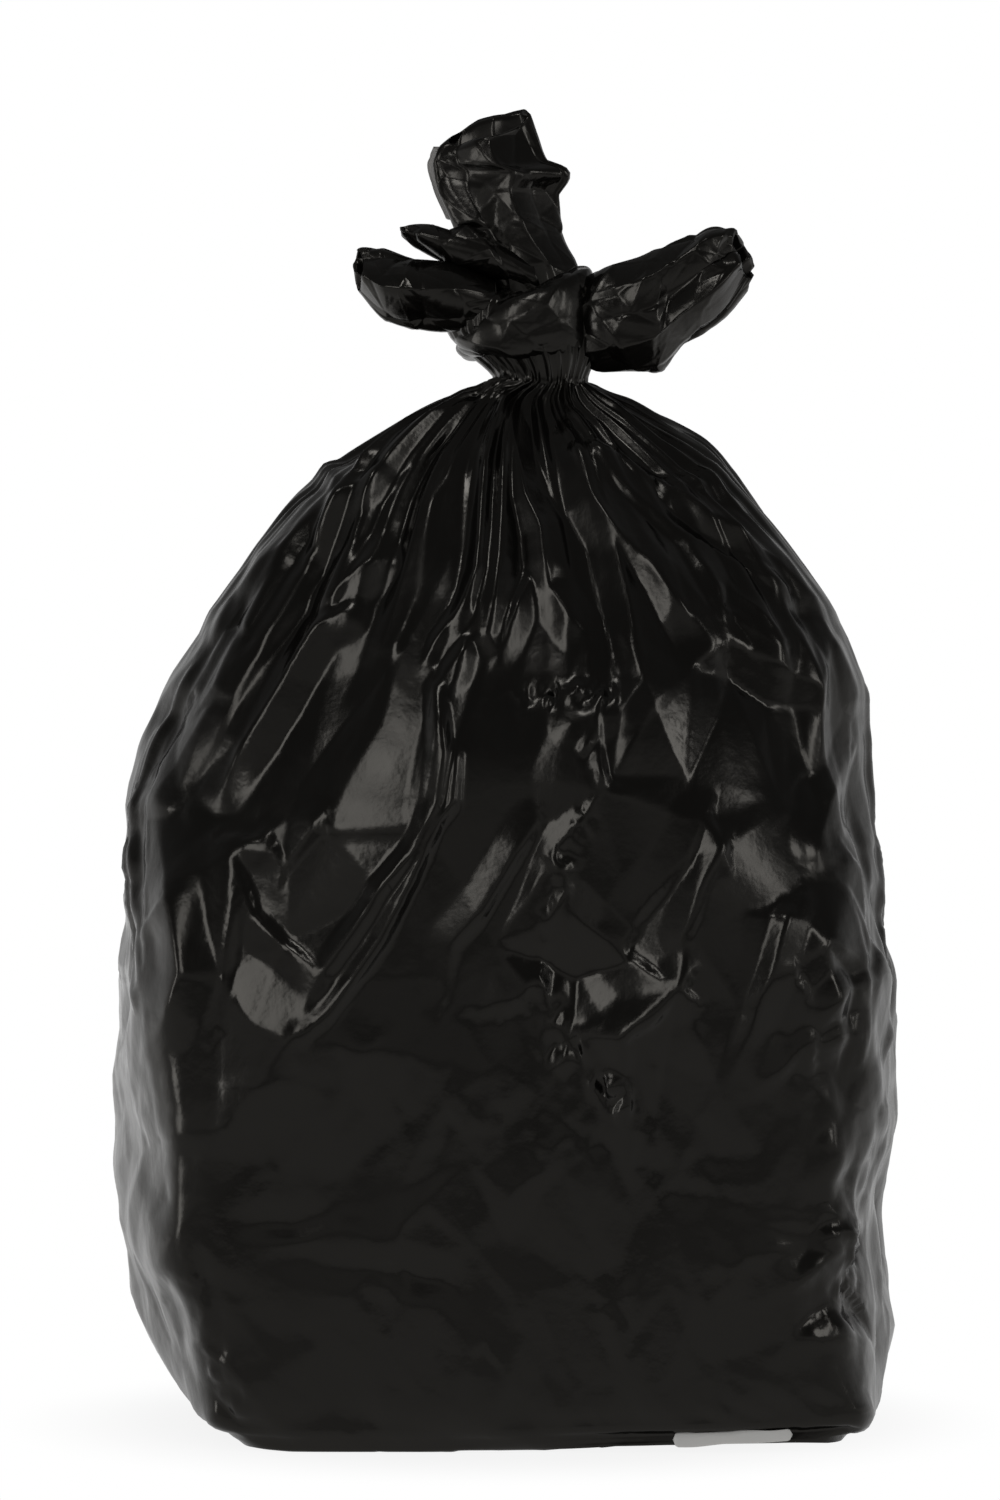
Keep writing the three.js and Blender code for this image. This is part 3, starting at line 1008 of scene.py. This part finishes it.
@dataclass
class Creases:
    """The ridges of the front and the gathers that run down from the neck all round."""

    gathers: int = 34
    gather_depth: float = 9.0
    gather_foot: tuple = (290, 430)  # the heights between which they run out, mm
    gather_width: tuple = (0.35, 0.62)  # how broad they are, as a share of the gap between two
    gather_size: tuple = (0.6, 1.0)  # how deep they are, as a share of the deepest
    spread: float = 1.7  # how much broader than in the table the broad ridges are
    narrow: float = 6.0  # ridges up to this width are narrow creases, mm
    low: float = 0.7  # their height, as a share of what the table says
    long: float = 3.2  # their gentle flank, as a share of their steep one
    crushed: Crumple = Crumple(9.0, 7.0, 1.9)  # where the film is crushed
    pressed: Crumple = Crumple(90.0, 16.0, 1.3)  # long level waves low down, where the waste presses
    rippled: Crumple = Crumple(46.0, 9.0, 0.4)  # fine level ripples on them
    flank: Crumple = Crumple(32.0, 25.0, 1.5)  # the film of the sides and the back
    seed: int = 5

    def lift(self, packed: Packed) -> Array:
        """Works out the broad ridges and the gathers.

        Args:
            packed: The grid.

        Returns:
            How far they lift each point of the grid, mm.
        """
        broad = [ridge for ridge in CREST if ridge.width > self.narrow]
        total = self._gathers(packed)
        for face in (FRONT, BACK, RIGHT_SIDE, LEFT_SIDE):
            total += self._ridges(packed, broad, self.spread, 1.0, face)
        return total

    def lines(self, packed: Packed) -> Array:
        """Works out the narrow creases and the crumpled film.

        Args:
            packed: The grid.

        Returns:
            How far they lift each point of the grid, mm.
        """
        thin = [
            Ridge(ridge.points, tuple(self.low * h for h in ridge.heights), ridge.width,
                  ridge.other or self.long * ridge.width)
            for ridge in CREST if ridge.width <= self.narrow
        ]
        u = np.arange(packed.around) / packed.around * GIRTH
        v = packed.height[:, 0]
        small, level, ripples, flanks = (
            crumples(u, v, GIRTH, kind, self.seed + 1 + i)
            for i, kind in enumerate((self.crushed, self.pressed, self.rippled, self.flank))
        )
        level *= (ramp(v, 4, 24) * (1 - ramp(v, 200, 260)))[:, None]
        level += ripples * (1 - ramp(v, 240, 290))[:, None]
        flanks *= ramp(packed.normal[..., 1], -0.8, -0.35)
        flanks *= (ramp(v, 25, 70) * (1 - ramp(v, 340, 430)))[:, None]
        total = small * self._ridges(packed, CRINKLED, 1.0, 1.0)
        total += (level + flanks) * packed.is_wall[:, None]
        for face in (FRONT, BACK, RIGHT_SIDE, LEFT_SIDE):
            total += self._ridges(packed, thin, 1.0, 1.2, face)
        return total

    def _gathers(self, packed: Packed) -> Array:
        """Folds along the film's length, deepest near the neck, that run out at different heights.

        Args:
            packed: The grid.

        Returns:
            How far they lift each point of the grid, mm.
        """
        rng = np.random.default_rng(self.seed)
        u = np.arange(packed.around) / packed.around
        total = np.zeros((packed.rings, packed.around))
        z = packed.height
        near_neck = ramp(z, 530, 575)
        for i in range(self.gathers):
            place = (i + 0.28 * rng.normal()) / self.gathers
            foot = rng.uniform(*self.gather_foot)
            sway = 0.006 * rng.normal() * np.sin((z - foot) / 60)
            width = rng.uniform(*self.gather_width) / self.gathers
            size = rng.uniform(*self.gather_size)
            away = np.abs((u[None, :] + sway - place + 0.5) % 1.0 - 0.5) / width
            crest = np.clip(1 - away, 0, 1) ** 0.9
            on_front = float(ramp(place, 0.60, 0.67) * (1 - ramp(place, 0.85, 0.91)))
            total += size * (1 - 0.85 * on_front * (1 - near_neck)) * crest * ramp(z, foot, foot + 110)
        fade = np.sqrt(packed.gather) * (1 - 0.55 * ramp(z, NECK - 5, NECK + 8))
        return self.gather_depth * (total - 0.7 * ramp(z, 380, 500)) * fade

    @staticmethod
    def _ridges(packed: Packed, ridges: tuple | list, spread: float, roundness: float,
                face: Face = FRONT) -> Array:
        """Listed crests of one face's film.

        Args:
            packed: The grid.
            ridges: The crests.
            spread: How much broader they are than their widths say.
            roundness: 1 for a sharp crest with straight flanks, 2 for a round one.
            face: The face that they lie on.

        Returns:
            A (rings, around) array of heights, mm.
        """
        across, up, hold = face.places(packed)
        near = hold > 0
        x, z = across[near], up[near]
        taper = np.broadcast_to(np.clip(packed.gather + 0.45, 0, 1), packed.height.shape)[near]
        lifted = np.zeros(len(x))
        for ridge in ridges:
            best = np.full(len(x), 9.0)
            height = np.zeros(len(x))
            points = np.array(ridge.points, float)
            for k in range(len(points) - 1):
                (ax, az), (bx, bz) = points[k], points[k + 1]
                run = np.hypot(bx - ax, bz - az)
                t = ((x - ax) * (bx - ax) + (z - az) * (bz - az)) / run**2
                inside = np.clip(t, 0, 1)
                side = (x - ax) * (bz - az) - (z - az) * (bx - ax)
                width = np.where(side * np.sign(az - bz + TINY) > 0, ridge.other or ridge.width, ridge.width)
                width = np.maximum(spread * width * taper, NARROWEST)
                off = np.hypot(x - ax - inside * (bx - ax), z - az - inside * (bz - az)) / width
                nearer = off < best
                here = ridge.heights[k] + (ridge.heights[k + 1] - ridge.heights[k]) * inside
                best = np.where(nearer, off, best)
                height = np.where(nearer, here, height)
            crest = height * np.clip(1 - np.minimum(best, 1) ** roundness, 0, 1) ** roundness
            lifted = np.where(np.abs(crest) > np.abs(lifted), crest, lifted)
        out = np.zeros(packed.height.shape)
        out[near] = lifted * hold[near]
        return out


# Height, and how far inwards the film lies at the sides, to leave room for its folds, mm.
SIDE_ROOM = (
    (0, -2), (60, -3), (200, -3), (250, 0), (290, 6), (340, 5), (390, 2), (430, 0), (510, 0), (560, 0),
)
CRESTS_HELD, HOLLOWS_HELD = 0.65, 0.4  # how much lower the folds are there, as shares


def kept_in(packed: Packed, lift: Array) -> Array:
    """Holds the creases of the left and right sides back, so that the outline from the front stays.

    Args:
        packed: The grid.
        lift: Heights over it, mm.

    Returns:
        The heights, less on the sides.
    """
    sideways = ramp(np.abs(packed.normal[..., 0]), 0.4, 0.85) * packed.is_wall[:, None]
    back = through(SIDE_ROOM, packed.height[:, 0])[:, None]
    held = CRESTS_HELD * np.maximum(lift, 0) + HOLLOWS_HELD * np.minimum(lift, 0)
    return lift - sideways * (held + back)


@dataclass(kw_only=True)
class FilmPiece:
    """Anything made of the sack's film: it builds its mesh and dresses it."""

    finish: BlownFilm = BLACK

    def build(self) -> bpy.types.Object:
        """Makes the bare mesh; each kind of piece has its own way."""
        raise NotImplementedError

    def dress(self, piece: bpy.types.Object) -> None:
        """Gives the piece its finish, hangs it under the frame's body, hides the part that it stands for and
        logs its faces.

        Args:
            piece: The mesh object.
        """
        piece.data.materials.append(self.finish.material())
        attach(piece, BODY)
        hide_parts(NODE)
        LOG.info("%s: %d faces", piece.name, len(piece.data.polygons))

    def make(self) -> None:
        """Builds the piece and dresses it."""
        self.dress(self.build())


@dataclass
class SackBody(FilmPiece):
    """The sack's body: packed, creased and relaxed film."""

    spare: tuple = (0.05, 0.03, 0.015)  # spare film on the coarse, middle and fine grid
    steps: tuple = (250, 160, 80)
    inward: float = 12.0  # the furthest that the film sinks below its shape, mm
    proud: float = 9.0  # the furthest that it stands above it
    at_foot: float = 0.08  # how much of that it may do where it stands
    loose: float = 0.004  # how strongly the film is drawn back to its shape
    set_by_hand: float = 0.05  # how much more strongly where the listed facets lie
    net: CreaseNet = field(default_factory=CreaseNet)
    creases: Creases = field(default_factory=Creases)

    def _relaxed(self, fineness: Fineness, spare: float, steps: int, start: Array | None) -> Array:
        """Settles the film on one grid.

        Args:
            fineness: The grid.
            spare: Spare film, as a share.
            steps: How many rounds of moves.
            start: Where the points start, from a coarser grid.

        Returns:
            The settled (rings, around, 3) places.
        """
        packed = Packed(fineness)
        rings, around, z = packed.rings, packed.around, packed.height
        lift = self.net.lift(packed)
        crease = self.creases.lift(packed)
        if fineness is not Fineness.COARSE:
            lift = lift + crease
        lift = kept_in(packed, lift)
        shape = packed.points + packed.normal * lift[..., None]
        # Which way the spare film buckles, and how much of it each patch has.
        turn = 2.2 * mottle(rings, around, 7, 12, 11)
        patch = 0.5 + 0.5 * np.tanh(1.5 * mottle(rings, around, 8, 14, 12))
        slack = patch * (0.25 + 0.75 * ramp(z, 120, 240)) * (1 - 0.8 * ramp(z, 380, 480))
        free = ramp(z, 1, 14) * (1 - ramp(z, 583, 595)) * packed.is_wall[:, None]
        by_hand = (packed.normal[..., 1] < -0.5) * ramp(z, 170, 220) * (1 - ramp(z, 410, 440))
        slack = slack * (1 - 0.75 * by_hand)
        draw = self.loose + self.set_by_hand * by_hand[..., None]
        if fineness is Fineness.MIDDLE:
            start = start + packed.normal * kept_in(packed, crease)[..., None]
        clear = self.at_foot + (1 - self.at_foot) * ramp(z, 0, 70)
        film = Film(shape, spare * slack * np.cos(turn) ** 2, spare * slack * np.sin(turn) ** 2, free, start,
                    inward=self.inward * clear, proud=self.proud * clear, draw=draw)
        points = film.relax(steps)
        if fineness is Fineness.FINE:
            points = points + outward(points) * self.creases.lines(packed)[..., None]
            points[..., 2] = np.maximum(points[..., 2], 0.0)
        return points

    def build(self) -> bpy.types.Object:
        """Makes the body.

        Returns:
            The body's object.
        """
        points = None
        for fineness, spare, steps in zip(Fineness, self.spare, self.steps):
            points = self._relaxed(fineness, spare, steps, None if points is None else finer(points))
        return tube("sack_body", points)


# ---- The knot and its tails ----


@dataclass(frozen=True)
class Station:
    """A place along a tail, seen from the front: the fan's two edges, its depth and its thickness, mm."""

    first: tuple  # (across, up) of one edge
    second: tuple  # of the other
    y: float  # the middle's place, front to back
    thick: float  # half of the thickness


@dataclass
class Tail(FilmPiece):
    """Spare film beyond the knot: a gathered, flattened tube with creases along it and an open mouth.

    Seen along the tail from the knot, the second edge lies clockwise of the first as seen from the front.
    """

    name: str
    stations: tuple
    pleats: float = 1.5  # deep folds across the fan
    pleat_depth: float = 4.0
    wrinkles: Crumple = Crumple(7.0, 30.0, 1.3)
    folds: Crumple = Crumple(24.0, 30.0, 1.0)  # broader facets under the wrinkles
    lip: float = 0.0  # how much further the back of the mouth reaches than the front, mm
    mouth: float = 0.75  # how far the film goes back into the mouth ends, as a share of the tail's length
    spare: float = 0.04
    seed: int = 1
    rows: int = 89
    around: int = 144

    def _ring(self, t: float, width: float = 1.0, thick: float = 1.0) -> Array:
        """One ring of the tail.

        Args:
            t: Place along the tail, 0 at the knot to 1 at the mouth.
            width: Width, as a share of the tail's.
            thick: Thickness, as a share of the tail's.

        Returns:
            (around, 3) places.
        """
        ends = [(s.first + s.second) for s in self.stations]
        middles = np.array([((e[0] + e[2]) / 2, (e[1] + e[3]) / 2) for e in ends])
        run = np.concatenate([[0], np.cumsum(np.hypot(*np.diff(middles, axis=0).T))])
        run /= run[-1]
        ax, az, bx, bz = (float(through([(r, e[n]) for r, e in zip(run, ends)], t)) for n in range(4))
        y = float(through([(r, s.y) for r, s in zip(run, self.stations)], t))
        half = float(through([(r, s.thick) for r, s in zip(run, self.stations)], t)) * thick
        angle = np.arange(self.around) / self.around * 2 * np.pi
        u, v = np.cos(angle), np.sin(angle)
        x = (ax + bx) / 2 + width * (ax - bx) / 2 * u
        z = (az + bz) / 2 + width * (az - bz) / 2 * u
        zigzag = np.abs((self.pleats * (u + 1) / 2 + 0.35 * t + 0.13 * self.seed) % 1.0 - 0.5) * 4 - 1
        depth = y + half * v * (1 - 0.3 * u * u) + self.pleat_depth * zigzag * min(1.0, 2 * t)
        out = np.array([middles[-1, 0] - middles[-2, 0], 0, middles[-1, 1] - middles[-2, 1]])
        out /= np.linalg.norm(out)
        reach = self.lip * v * max(0.0, 2 * t - 1) ** 2
        return np.stack([x, depth, z], axis=-1) + reach[:, None] * out

    def build(self) -> bpy.types.Object:
        """Makes the tail.

        Returns:
            Its object.
        """
        outer = round(self.rows * 0.8)
        start = [self._ring(0.0, k / 3, k / 3) for k in range(3)]
        wall = [self._ring(t) for t in np.linspace(0, 1, outer)]
        inside = []
        count = self.rows - outer - 3
        for k in range(1, count + 1):
            t = k / count
            close = 1.0 if t < 0.7 else math.sqrt(max(0.0, 1 - ((t - 0.7) / 0.3) ** 2))
            back = 1 - (1 - self.mouth) * min(1.0, t / 0.8)
            inside.append(self._ring(back, 0.95 * close, (0.85 - 0.35 * t) * close))
        shape = np.array(start + wall + inside)
        step = np.linalg.norm(np.roll(shape, -1, axis=1) - shape, axis=2).sum(axis=1)
        girth = float(step[3 + outer // 2])
        length = np.concatenate([[0], np.cumsum(np.linalg.norm(np.diff(shape.mean(axis=1), axis=0), axis=1))])
        u = np.arange(self.around) / self.around * girth
        lift = crumples(u, length, girth, self.wrinkles, self.seed)
        lift += crumples(u, length, girth, self.folds, self.seed + 50) * ramp(length, 15, 50)[:, None]
        fade = np.ones(self.rows)
        fade[:3] = 0
        fade[3 + outer:] = 0.25
        shape = shape + outward(shape) * (lift * fade[:, None])[..., None]
        free = np.clip(np.arange(self.rows) / 8.0, 0, 1)[:, None] * np.ones(self.around)
        free[3 + outer + 2:] = 0.0
        slack = self.spare * np.ones((self.rows, self.around))
        film = Film(shape, slack, slack, free, inward=2.5, proud=4.0, bend=0.03, draw=0.01)
        return tube(self.name, soften(film.relax(90), 1))


TAILS = (
    Tail("tail_top", (
        Station((44, 628), (4, 632), 2, 19.5),
        Station((43, 655), (-14, 655), 4, 16.9),
        Station((32, 678), (-30, 686), 6, 15.6),
        Station((29, 699), (-38, 705), 8, 14.3),
        Station((35, 711), (-39, 714), 9, 13.8),
        Station((23, 719), (-40, 720), 9, 13.4),
        Station((18, 733), (-38, 726), 10, 12.8),
        Station((14, 746), (-31, 731), 11, 11.7),
    ), pleats=1.4, pleat_depth=4.5, lip=6.0, mouth=0.8, seed=3),
    Tail("tail_right", (
        Station((40, 602), (40, 646), -2, 18.2),
        Station((58, 598), (52, 655), -8, 19.5),
        Station((85, 599), (79, 662), -12, 19.5),
        Station((104, 613), (100, 671), -12, 16.9),
        Station((124, 628), (118, 679), -10, 14.3),
        Station((141, 652), (131, 677), -8, 10.4),
    ), pleats=1.8, pleat_depth=4.0, wrinkles=Crumple(6.0, 26.0, 1.3), lip=4.0, mouth=0.85, seed=8),
    Tail("tail_left", (
        Station((-4, 650), (-2, 622), -8, 18.2),
        Station((-30, 660), (-30, 620), -14, 18.2),
        Station((-52, 663), (-50, 622), -17, 16.9),
        Station((-70, 667), (-66, 627), -17, 14.3),
        Station((-83, 667), (-82, 644), -15, 9.1),
    ), pleats=1.2, pleat_depth=4.0, wrinkles=Crumple(8.0, 24.0, 1.3), lip=3.0, mouth=0.82, seed=5),
    Tail("tail_spike", (
        Station((16, 664), (22, 640), -4, 11.7),
        Station((-14, 676), (-6, 650), -8, 11.7),
        Station((-36, 679), (-30, 657), -10, 9.1),
        Station((-50, 681), (-48, 668), -11, 5.2),
        Station((-59, 680), (-57, 676), -12, 2.0),
    ), pleats=0.8, pleat_depth=2.0, wrinkles=Crumple(7.0, 26.0, 1.3), mouth=0.97, seed=13),
)

# The thin edge of the top tail, stretched until it is pale.
PALE_EDGE = Tail("tail_pale_edge", (
    Station((-26, 684), (-33, 686), 8, 2),
    Station((-28, 700), (-41, 703), 9, 2),
    Station((-29, 714), (-44, 716), 10, 2),
    Station((-31, 726), (-40, 727), 11, 1.5),
), pleats=0.4, pleat_depth=1.0, wrinkles=Crumple(6.0, 20.0, 0.6), mouth=0.97, seed=17, rows=45, around=48,
    finish=STRETCHED)


@dataclass
class KnotBand(FilmPiece):
    """The turn of gathered film that grips the neck: low and narrow on the left, high on the right."""

    across: float = 31.0  # from the knot's middle to the band's middle, left and right, mm
    deep: float = 24.0  # the same, front and back
    half_thick: float = 11.0
    rise: float = 7.0  # how much higher the right-hand side is than the middle
    middle_x: float = 13.0
    middle_z: float = 625.0
    half_high: float = 19.0
    broader: float = 7.0  # how much broader the right-hand side is than the middle, and the left narrower
    girth: float = 190.0  # once round the neck along the band
    band_girth: float = 110.0  # once round the band itself
    folds: Crumple = Crumple(42.0, 7.0, 1.3)
    wrinkles: Crumple = Crumple(12.0, 7.0, 0.5)
    rows: int = 97
    around: int = 192

    def build(self) -> bpy.types.Object:
        """Makes the band: a ring whose seam lies on its inner side, which the knot hides.

        Returns:
            Its object.
        """
        turn = np.arange(self.around) / self.around * 2 * np.pi
        wrap = np.linspace(0, 2 * np.pi, self.rows)[:, None]
        cos, sin = np.cos(turn), np.sin(turn)
        half_high = self.half_high + self.broader * cos
        middle = np.stack(
            [self.middle_x + self.across * cos, self.deep * sin, self.middle_z + self.rise * cos], axis=-1)
        out = np.stack([cos, sin, 0 * cos], axis=-1)
        flat = np.sign(np.cos(wrap)) * np.abs(np.cos(wrap)) ** 0.7
        shape = middle - (self.half_thick * flat)[..., None] * out
        shape = shape - (half_high * np.sin(wrap))[..., None] * np.array([0.0, 0.0, 1.0])
        u, v = turn / (2 * np.pi) * self.girth, wrap[:, 0] / (2 * np.pi) * self.band_girth
        lift = crumples(u, v, self.girth, self.folds, 21) + crumples(u, v, self.girth, self.wrinkles, 22)
        lift *= np.clip(1.4 * (1 - np.cos(wrap)) / 2, 0, 1)
        shape = shape + outward(shape) * lift[..., None]
        free = np.clip(2.5 * (1 - np.cos(wrap)) / 2, 0, 1) * np.ones(self.around)
        slack = 0.03 * np.ones(shape.shape[:2])
        film = Film(shape, slack, slack, free, inward=2.0, proud=3.0, bend=0.03, draw=0.01)
        return tube("knot_band", soften(film.relax(80), 1))


@dataclass
class Hem(FilmPiece):
    """The loose strip beyond the base's weld, which lies out from under the front on the right; its pale
    colour is a painted sheen.
    """

    # pale finish: painted sheen for the light that the strip catches
    finish: BlownFilm = HEM_PAINTED_SHEEN
    start: float = 93.0  # left-hand end, mm
    end: float = 159.0
    width: float = 8.5
    thick: float = 0.6
    front: float = -150.5  # its middle's place, front to back
    height: float = 7.2  # its middle's height at the left-hand end
    rise: float = 3.0  # how much higher the right-hand end is
    lean: float = 1.15  # how steeply it stands, in radians
    rows: int = 45
    around: int = 24

    def build(self) -> bpy.types.Object:
        """Makes the strip: a flat, slightly wavy tube of film from end to end.

        Returns:
            Its object.
        """
        rings = []
        angle = np.arange(self.around) / self.around * 2 * np.pi
        for i in range(self.rows):
            t = i / (self.rows - 1)
            close = min(1.0, 30 * t, 30 * (1 - t)) ** 0.5 if 0 < t < 1 else 0.0
            lean = self.lean + 0.08 * math.sin(9 * t)
            half = self.width / 2 * close * (1 - 0.2 * t + 0.06 * math.sin(13 * t))
            wide = half * np.cos(angle)
            deep = self.thick * close * np.sin(angle)
            y = self.front + 0.6 * math.sin(7 * t) - wide * math.cos(lean) - deep * math.sin(lean)
            z = self.height + self.rise * t + 0.3 * math.sin(11 * t + 2)
            z = z - wide * math.sin(lean) + deep * math.cos(lean)
            x = np.full(self.around, self.start + (self.end - self.start) * t)
            rings.append(np.stack([x, y, z], axis=-1))
        return tube("base_hem", np.array(rings))


# ---- Studio ----


@dataclass(frozen=True)
class Softbox:
    """A soft rectangular light that looks at the middle of the sack."""

    name: str
    at: tuple  # metres
    size: tuple  # across and along, metres
    power: float  # watts
    target: tuple = (0.0, 0.0, 0.4)  # metres

    def build(self) -> None:
        """Adds the light to the scene, looking at its target."""
        data = bpy.data.lights.new(self.name, "AREA")
        data.shape = "RECTANGLE"
        data.size, data.size_y = self.size
        data.energy = self.power
        lamp = bpy.data.objects.new(self.name, data)
        bpy.context.scene.collection.objects.link(lamp)
        lamp.location = self.at
        lamp.rotation_euler = (Vector(self.target) - Vector(self.at)).to_track_quat("-Z", "Y").to_euler()


@dataclass(frozen=True)
class Fade:
    """A brightness that changes from one level to another along an axis."""

    axis: str
    start: float  # where it begins on the axis
    end: float
    first: float  # the level at the start
    last: float
    curve: str = "SMOOTHSTEP"

    def settings(self) -> dict:
        """The settings of the node that makes it."""
        return {"interpolation_type": self.curve, "From Min": self.start, "From Max": self.end,
                "To Min": self.first, "To Max": self.last}


@dataclass(frozen=True)
class Glow:
    """A brightness that fades along several axes."""

    fades: dict  # each fade by its name
    steps: tuple  # (name of the result, operation, first, second), and the last result is the brightness

    def output(self, tree: bpy.types.NodeTree, place: bpy.types.NodeSocket) -> bpy.types.NodeSocket:
        """Adds its nodes.

        Args:
            tree: The node tree.
            place: The socket with the place or direction.

        Returns:
            The socket with the brightness.
        """
        axes = add_node(tree, "ShaderNodeSeparateXYZ", links={0: place})
        level = {}
        for name, fade in self.fades.items():
            made = add_node(tree, "ShaderNodeMapRange", fade.settings(), {"Value": axes.outputs[fade.axis]})
            level[name] = made.outputs[0]
        for name, operation, first, second in self.steps:
            made = add_node(tree, "ShaderNodeMath", {"operation": operation},
                            {0: level[first], 1: level[second]})
            level[name] = made.outputs[0]
        return made.outputs[0]


SOFTBOXES = (
    Softbox("key softbox", (-0.75, -1.45, 1.3), (0.48, 0.8), 2.85),
    Softbox("top softbox", (-0.25, -0.95, 2.1), (0.35, 0.25), 1.8),
    Softbox("left softbox", (-2.0, -0.8, 0.5), (0.4, 1.0), 3.0),
    Softbox("right softbox", (1.6, -1.35, 1.3), (0.36, 0.8), 2.6),
    Softbox("right strip light", (1.93, -0.87, 0.85), (0.12, 0.6), 0.5),
)
# What the film reflects of the room: directions from the sack.
ROOM = Glow(
    {
        "front": Fade("Y", -0.985, -0.8, 0.2, 0.25),  # ahead of the sack, darkest behind the camera
        "rise": Fade("Z", -0.2, 0.25, -0.08, 0.12, "LINEAR"),
        "up": Fade("Z", 0.08, 0.55, 1.0, 0.22),  # dark under the ceiling
        "back": Fade("Y", -0.5, 0.7, 0.0, 0.34),  # the white paper behind the sack
        "low": Fade("Z", -0.02, 0.3, 1.1, 0.15),  # which doesn't reach high
        "side": Fade("X", -0.7, 0.8, 0.95, 0.55),  # and gets less light on the right
    },
    (
        ("ahead", "ADD", "front", "rise"),
        ("ahead", "MULTIPLY", "ahead", "up"),
        ("behind", "MULTIPLY", "back", "low"),
        ("behind", "MULTIPLY", "behind", "side"),
        ("both", "ADD", "ahead", "behind"),
    ),
)
# What the film reflects of the floor, by places on it, in metres: a glow that paints the light and shade on
# the paper.
GROUND = Glow(
    {
        "near": Fade("Y", -2.6, -0.4, 0.11, 0.34),
        "shade": Fade("Y", -0.3, 0.3, 0.0, 0.5),  # painted light: the paper behind the sack glows brighter
        "side": Fade("X", -0.6, 0.6, 0.95, 0.5),  # which gets less light on the right
    },
    (
        ("shade", "MULTIPLY", "shade", "side"),
        ("both", "ADD", "near", "shade"),
    ),
)


@dataclass
class Studio:
    """A white studio: pale floor, white surroundings that go dark in front, soft lights and the camera."""

    distance: float = 4.0
    tilt: float = math.radians(1.5)
    aim: tuple = (-0.002, 0.383)  # across and up, metres
    view_height: float = 0.855
    sensor: float = 24.0
    floor_size: float = 16.0
    paper_colour: str = "#f4f4f4"
    paper_roughness: float = 0.9
    # How white the camera sees the floor, by the distance from the sack's middle.
    floor_fade: Fade = Fade("Value", 0.16, 0.3, 0.88, 1.0)

    def build(self) -> None:
        """Makes the surroundings, the lights, the floor and the camera."""
        self._world()
        for box in SOFTBOXES:
            box.build()
        self._floor()
        self._camera()

    def _world(self) -> None:
        """White all round for the camera; for the film, dark behind the camera."""
        world = bpy.data.worlds.new("white studio")
        bpy.context.scene.world = world
        world.use_nodes = True
        tree = world.node_tree
        place = add_node(tree, "ShaderNodeTexCoord")
        path = add_node(tree, "ShaderNodeLightPath")
        mix = add_node(tree, "ShaderNodeMix", {"data_type": "FLOAT", 3: 1.0},
                       {0: path.outputs["Is Camera Ray"], 2: ROOM.output(tree, place.outputs["Generated"])})
        tree.nodes["Background"].inputs["Color"].default_value = (1, 1, 1, 1)
        tree.links.new(mix.outputs[0], tree.nodes["Background"].inputs["Strength"])

    def _floor(self) -> None:
        """A pale floor that goes over into the white surroundings away from the sack."""
        bpy.ops.object.select_all(action="DESELECT")
        bpy.ops.mesh.primitive_plane_add(size=self.floor_size, location=(0, 0, 0))
        floor = bpy.context.object
        floor.name = "floor"
        made = bpy.data.materials.new("matt white paper")
        made.use_nodes = True
        tree = made.node_tree
        paper = tree.nodes["Principled BSDF"]
        paper.inputs["Base Color"].default_value = linear(self.paper_colour)
        paper.inputs["Roughness"].default_value = self.paper_roughness
        place = add_node(tree, "ShaderNodeTexCoord")
        far = add_node(tree, "ShaderNodeVectorMath", {"operation": "LENGTH"}, {0: place.outputs["Object"]})
        fade = add_node(tree, "ShaderNodeMapRange", self.floor_fade.settings(),
                        {"Value": far.outputs[self.floor_fade.axis]})
        path = add_node(tree, "ShaderNodeLightPath")
        seen = add_node(tree, "ShaderNodeMath", {"operation": "MULTIPLY"},
                        {0: fade.outputs[0], 1: path.outputs["Is Camera Ray"]})
        glow = add_node(tree, "ShaderNodeEmission", {"Strength": 1.0})
        # for the film, the floor is a glow whose brightness is painted light and shade
        dark = add_node(tree, "ShaderNodeEmission",
                        links={"Strength": GROUND.output(tree, place.outputs["Object"])})
        ground = add_node(tree, "ShaderNodeMixShader",
                          links={0: path.outputs["Is Camera Ray"], 1: dark.outputs[0], 2: paper.outputs[0]})
        both = add_node(tree, "ShaderNodeMixShader",
                        links={0: seen.outputs[0], 1: ground.outputs[0], 2: glow.outputs[0]})
        tree.links.new(both.outputs[0], tree.nodes["Material Output"].inputs["Surface"])
        floor.data.materials.append(made)

    def _camera(self) -> None:
        """A long lens, a little above the sack's middle and almost level."""
        data = bpy.data.cameras.new("camera")
        data.sensor_fit = "VERTICAL"
        data.sensor_height = self.sensor
        data.lens = data.sensor_height * self.distance / self.view_height
        data.clip_end = 50
        camera = bpy.data.objects.new("camera", data)
        bpy.context.scene.collection.objects.link(camera)
        x, z = self.aim
        camera.location = (x, -self.distance * math.cos(self.tilt), z + self.distance * math.sin(self.tilt))
        camera.rotation_euler = (math.pi / 2 - self.tilt, 0, 0)
        bpy.context.scene.camera = camera
        bpy.context.scene.view_settings.view_transform = "Standard"


def main() -> None:
    """Builds the sack and its studio."""
    logging.basicConfig(level=logging.INFO, format="%(message)s")
    for piece in (SackBody(), KnotBand(), *TAILS, PALE_EDGE, Hem()):
        piece.make()
    Studio().build()


if __name__ == "__main__":
    main()
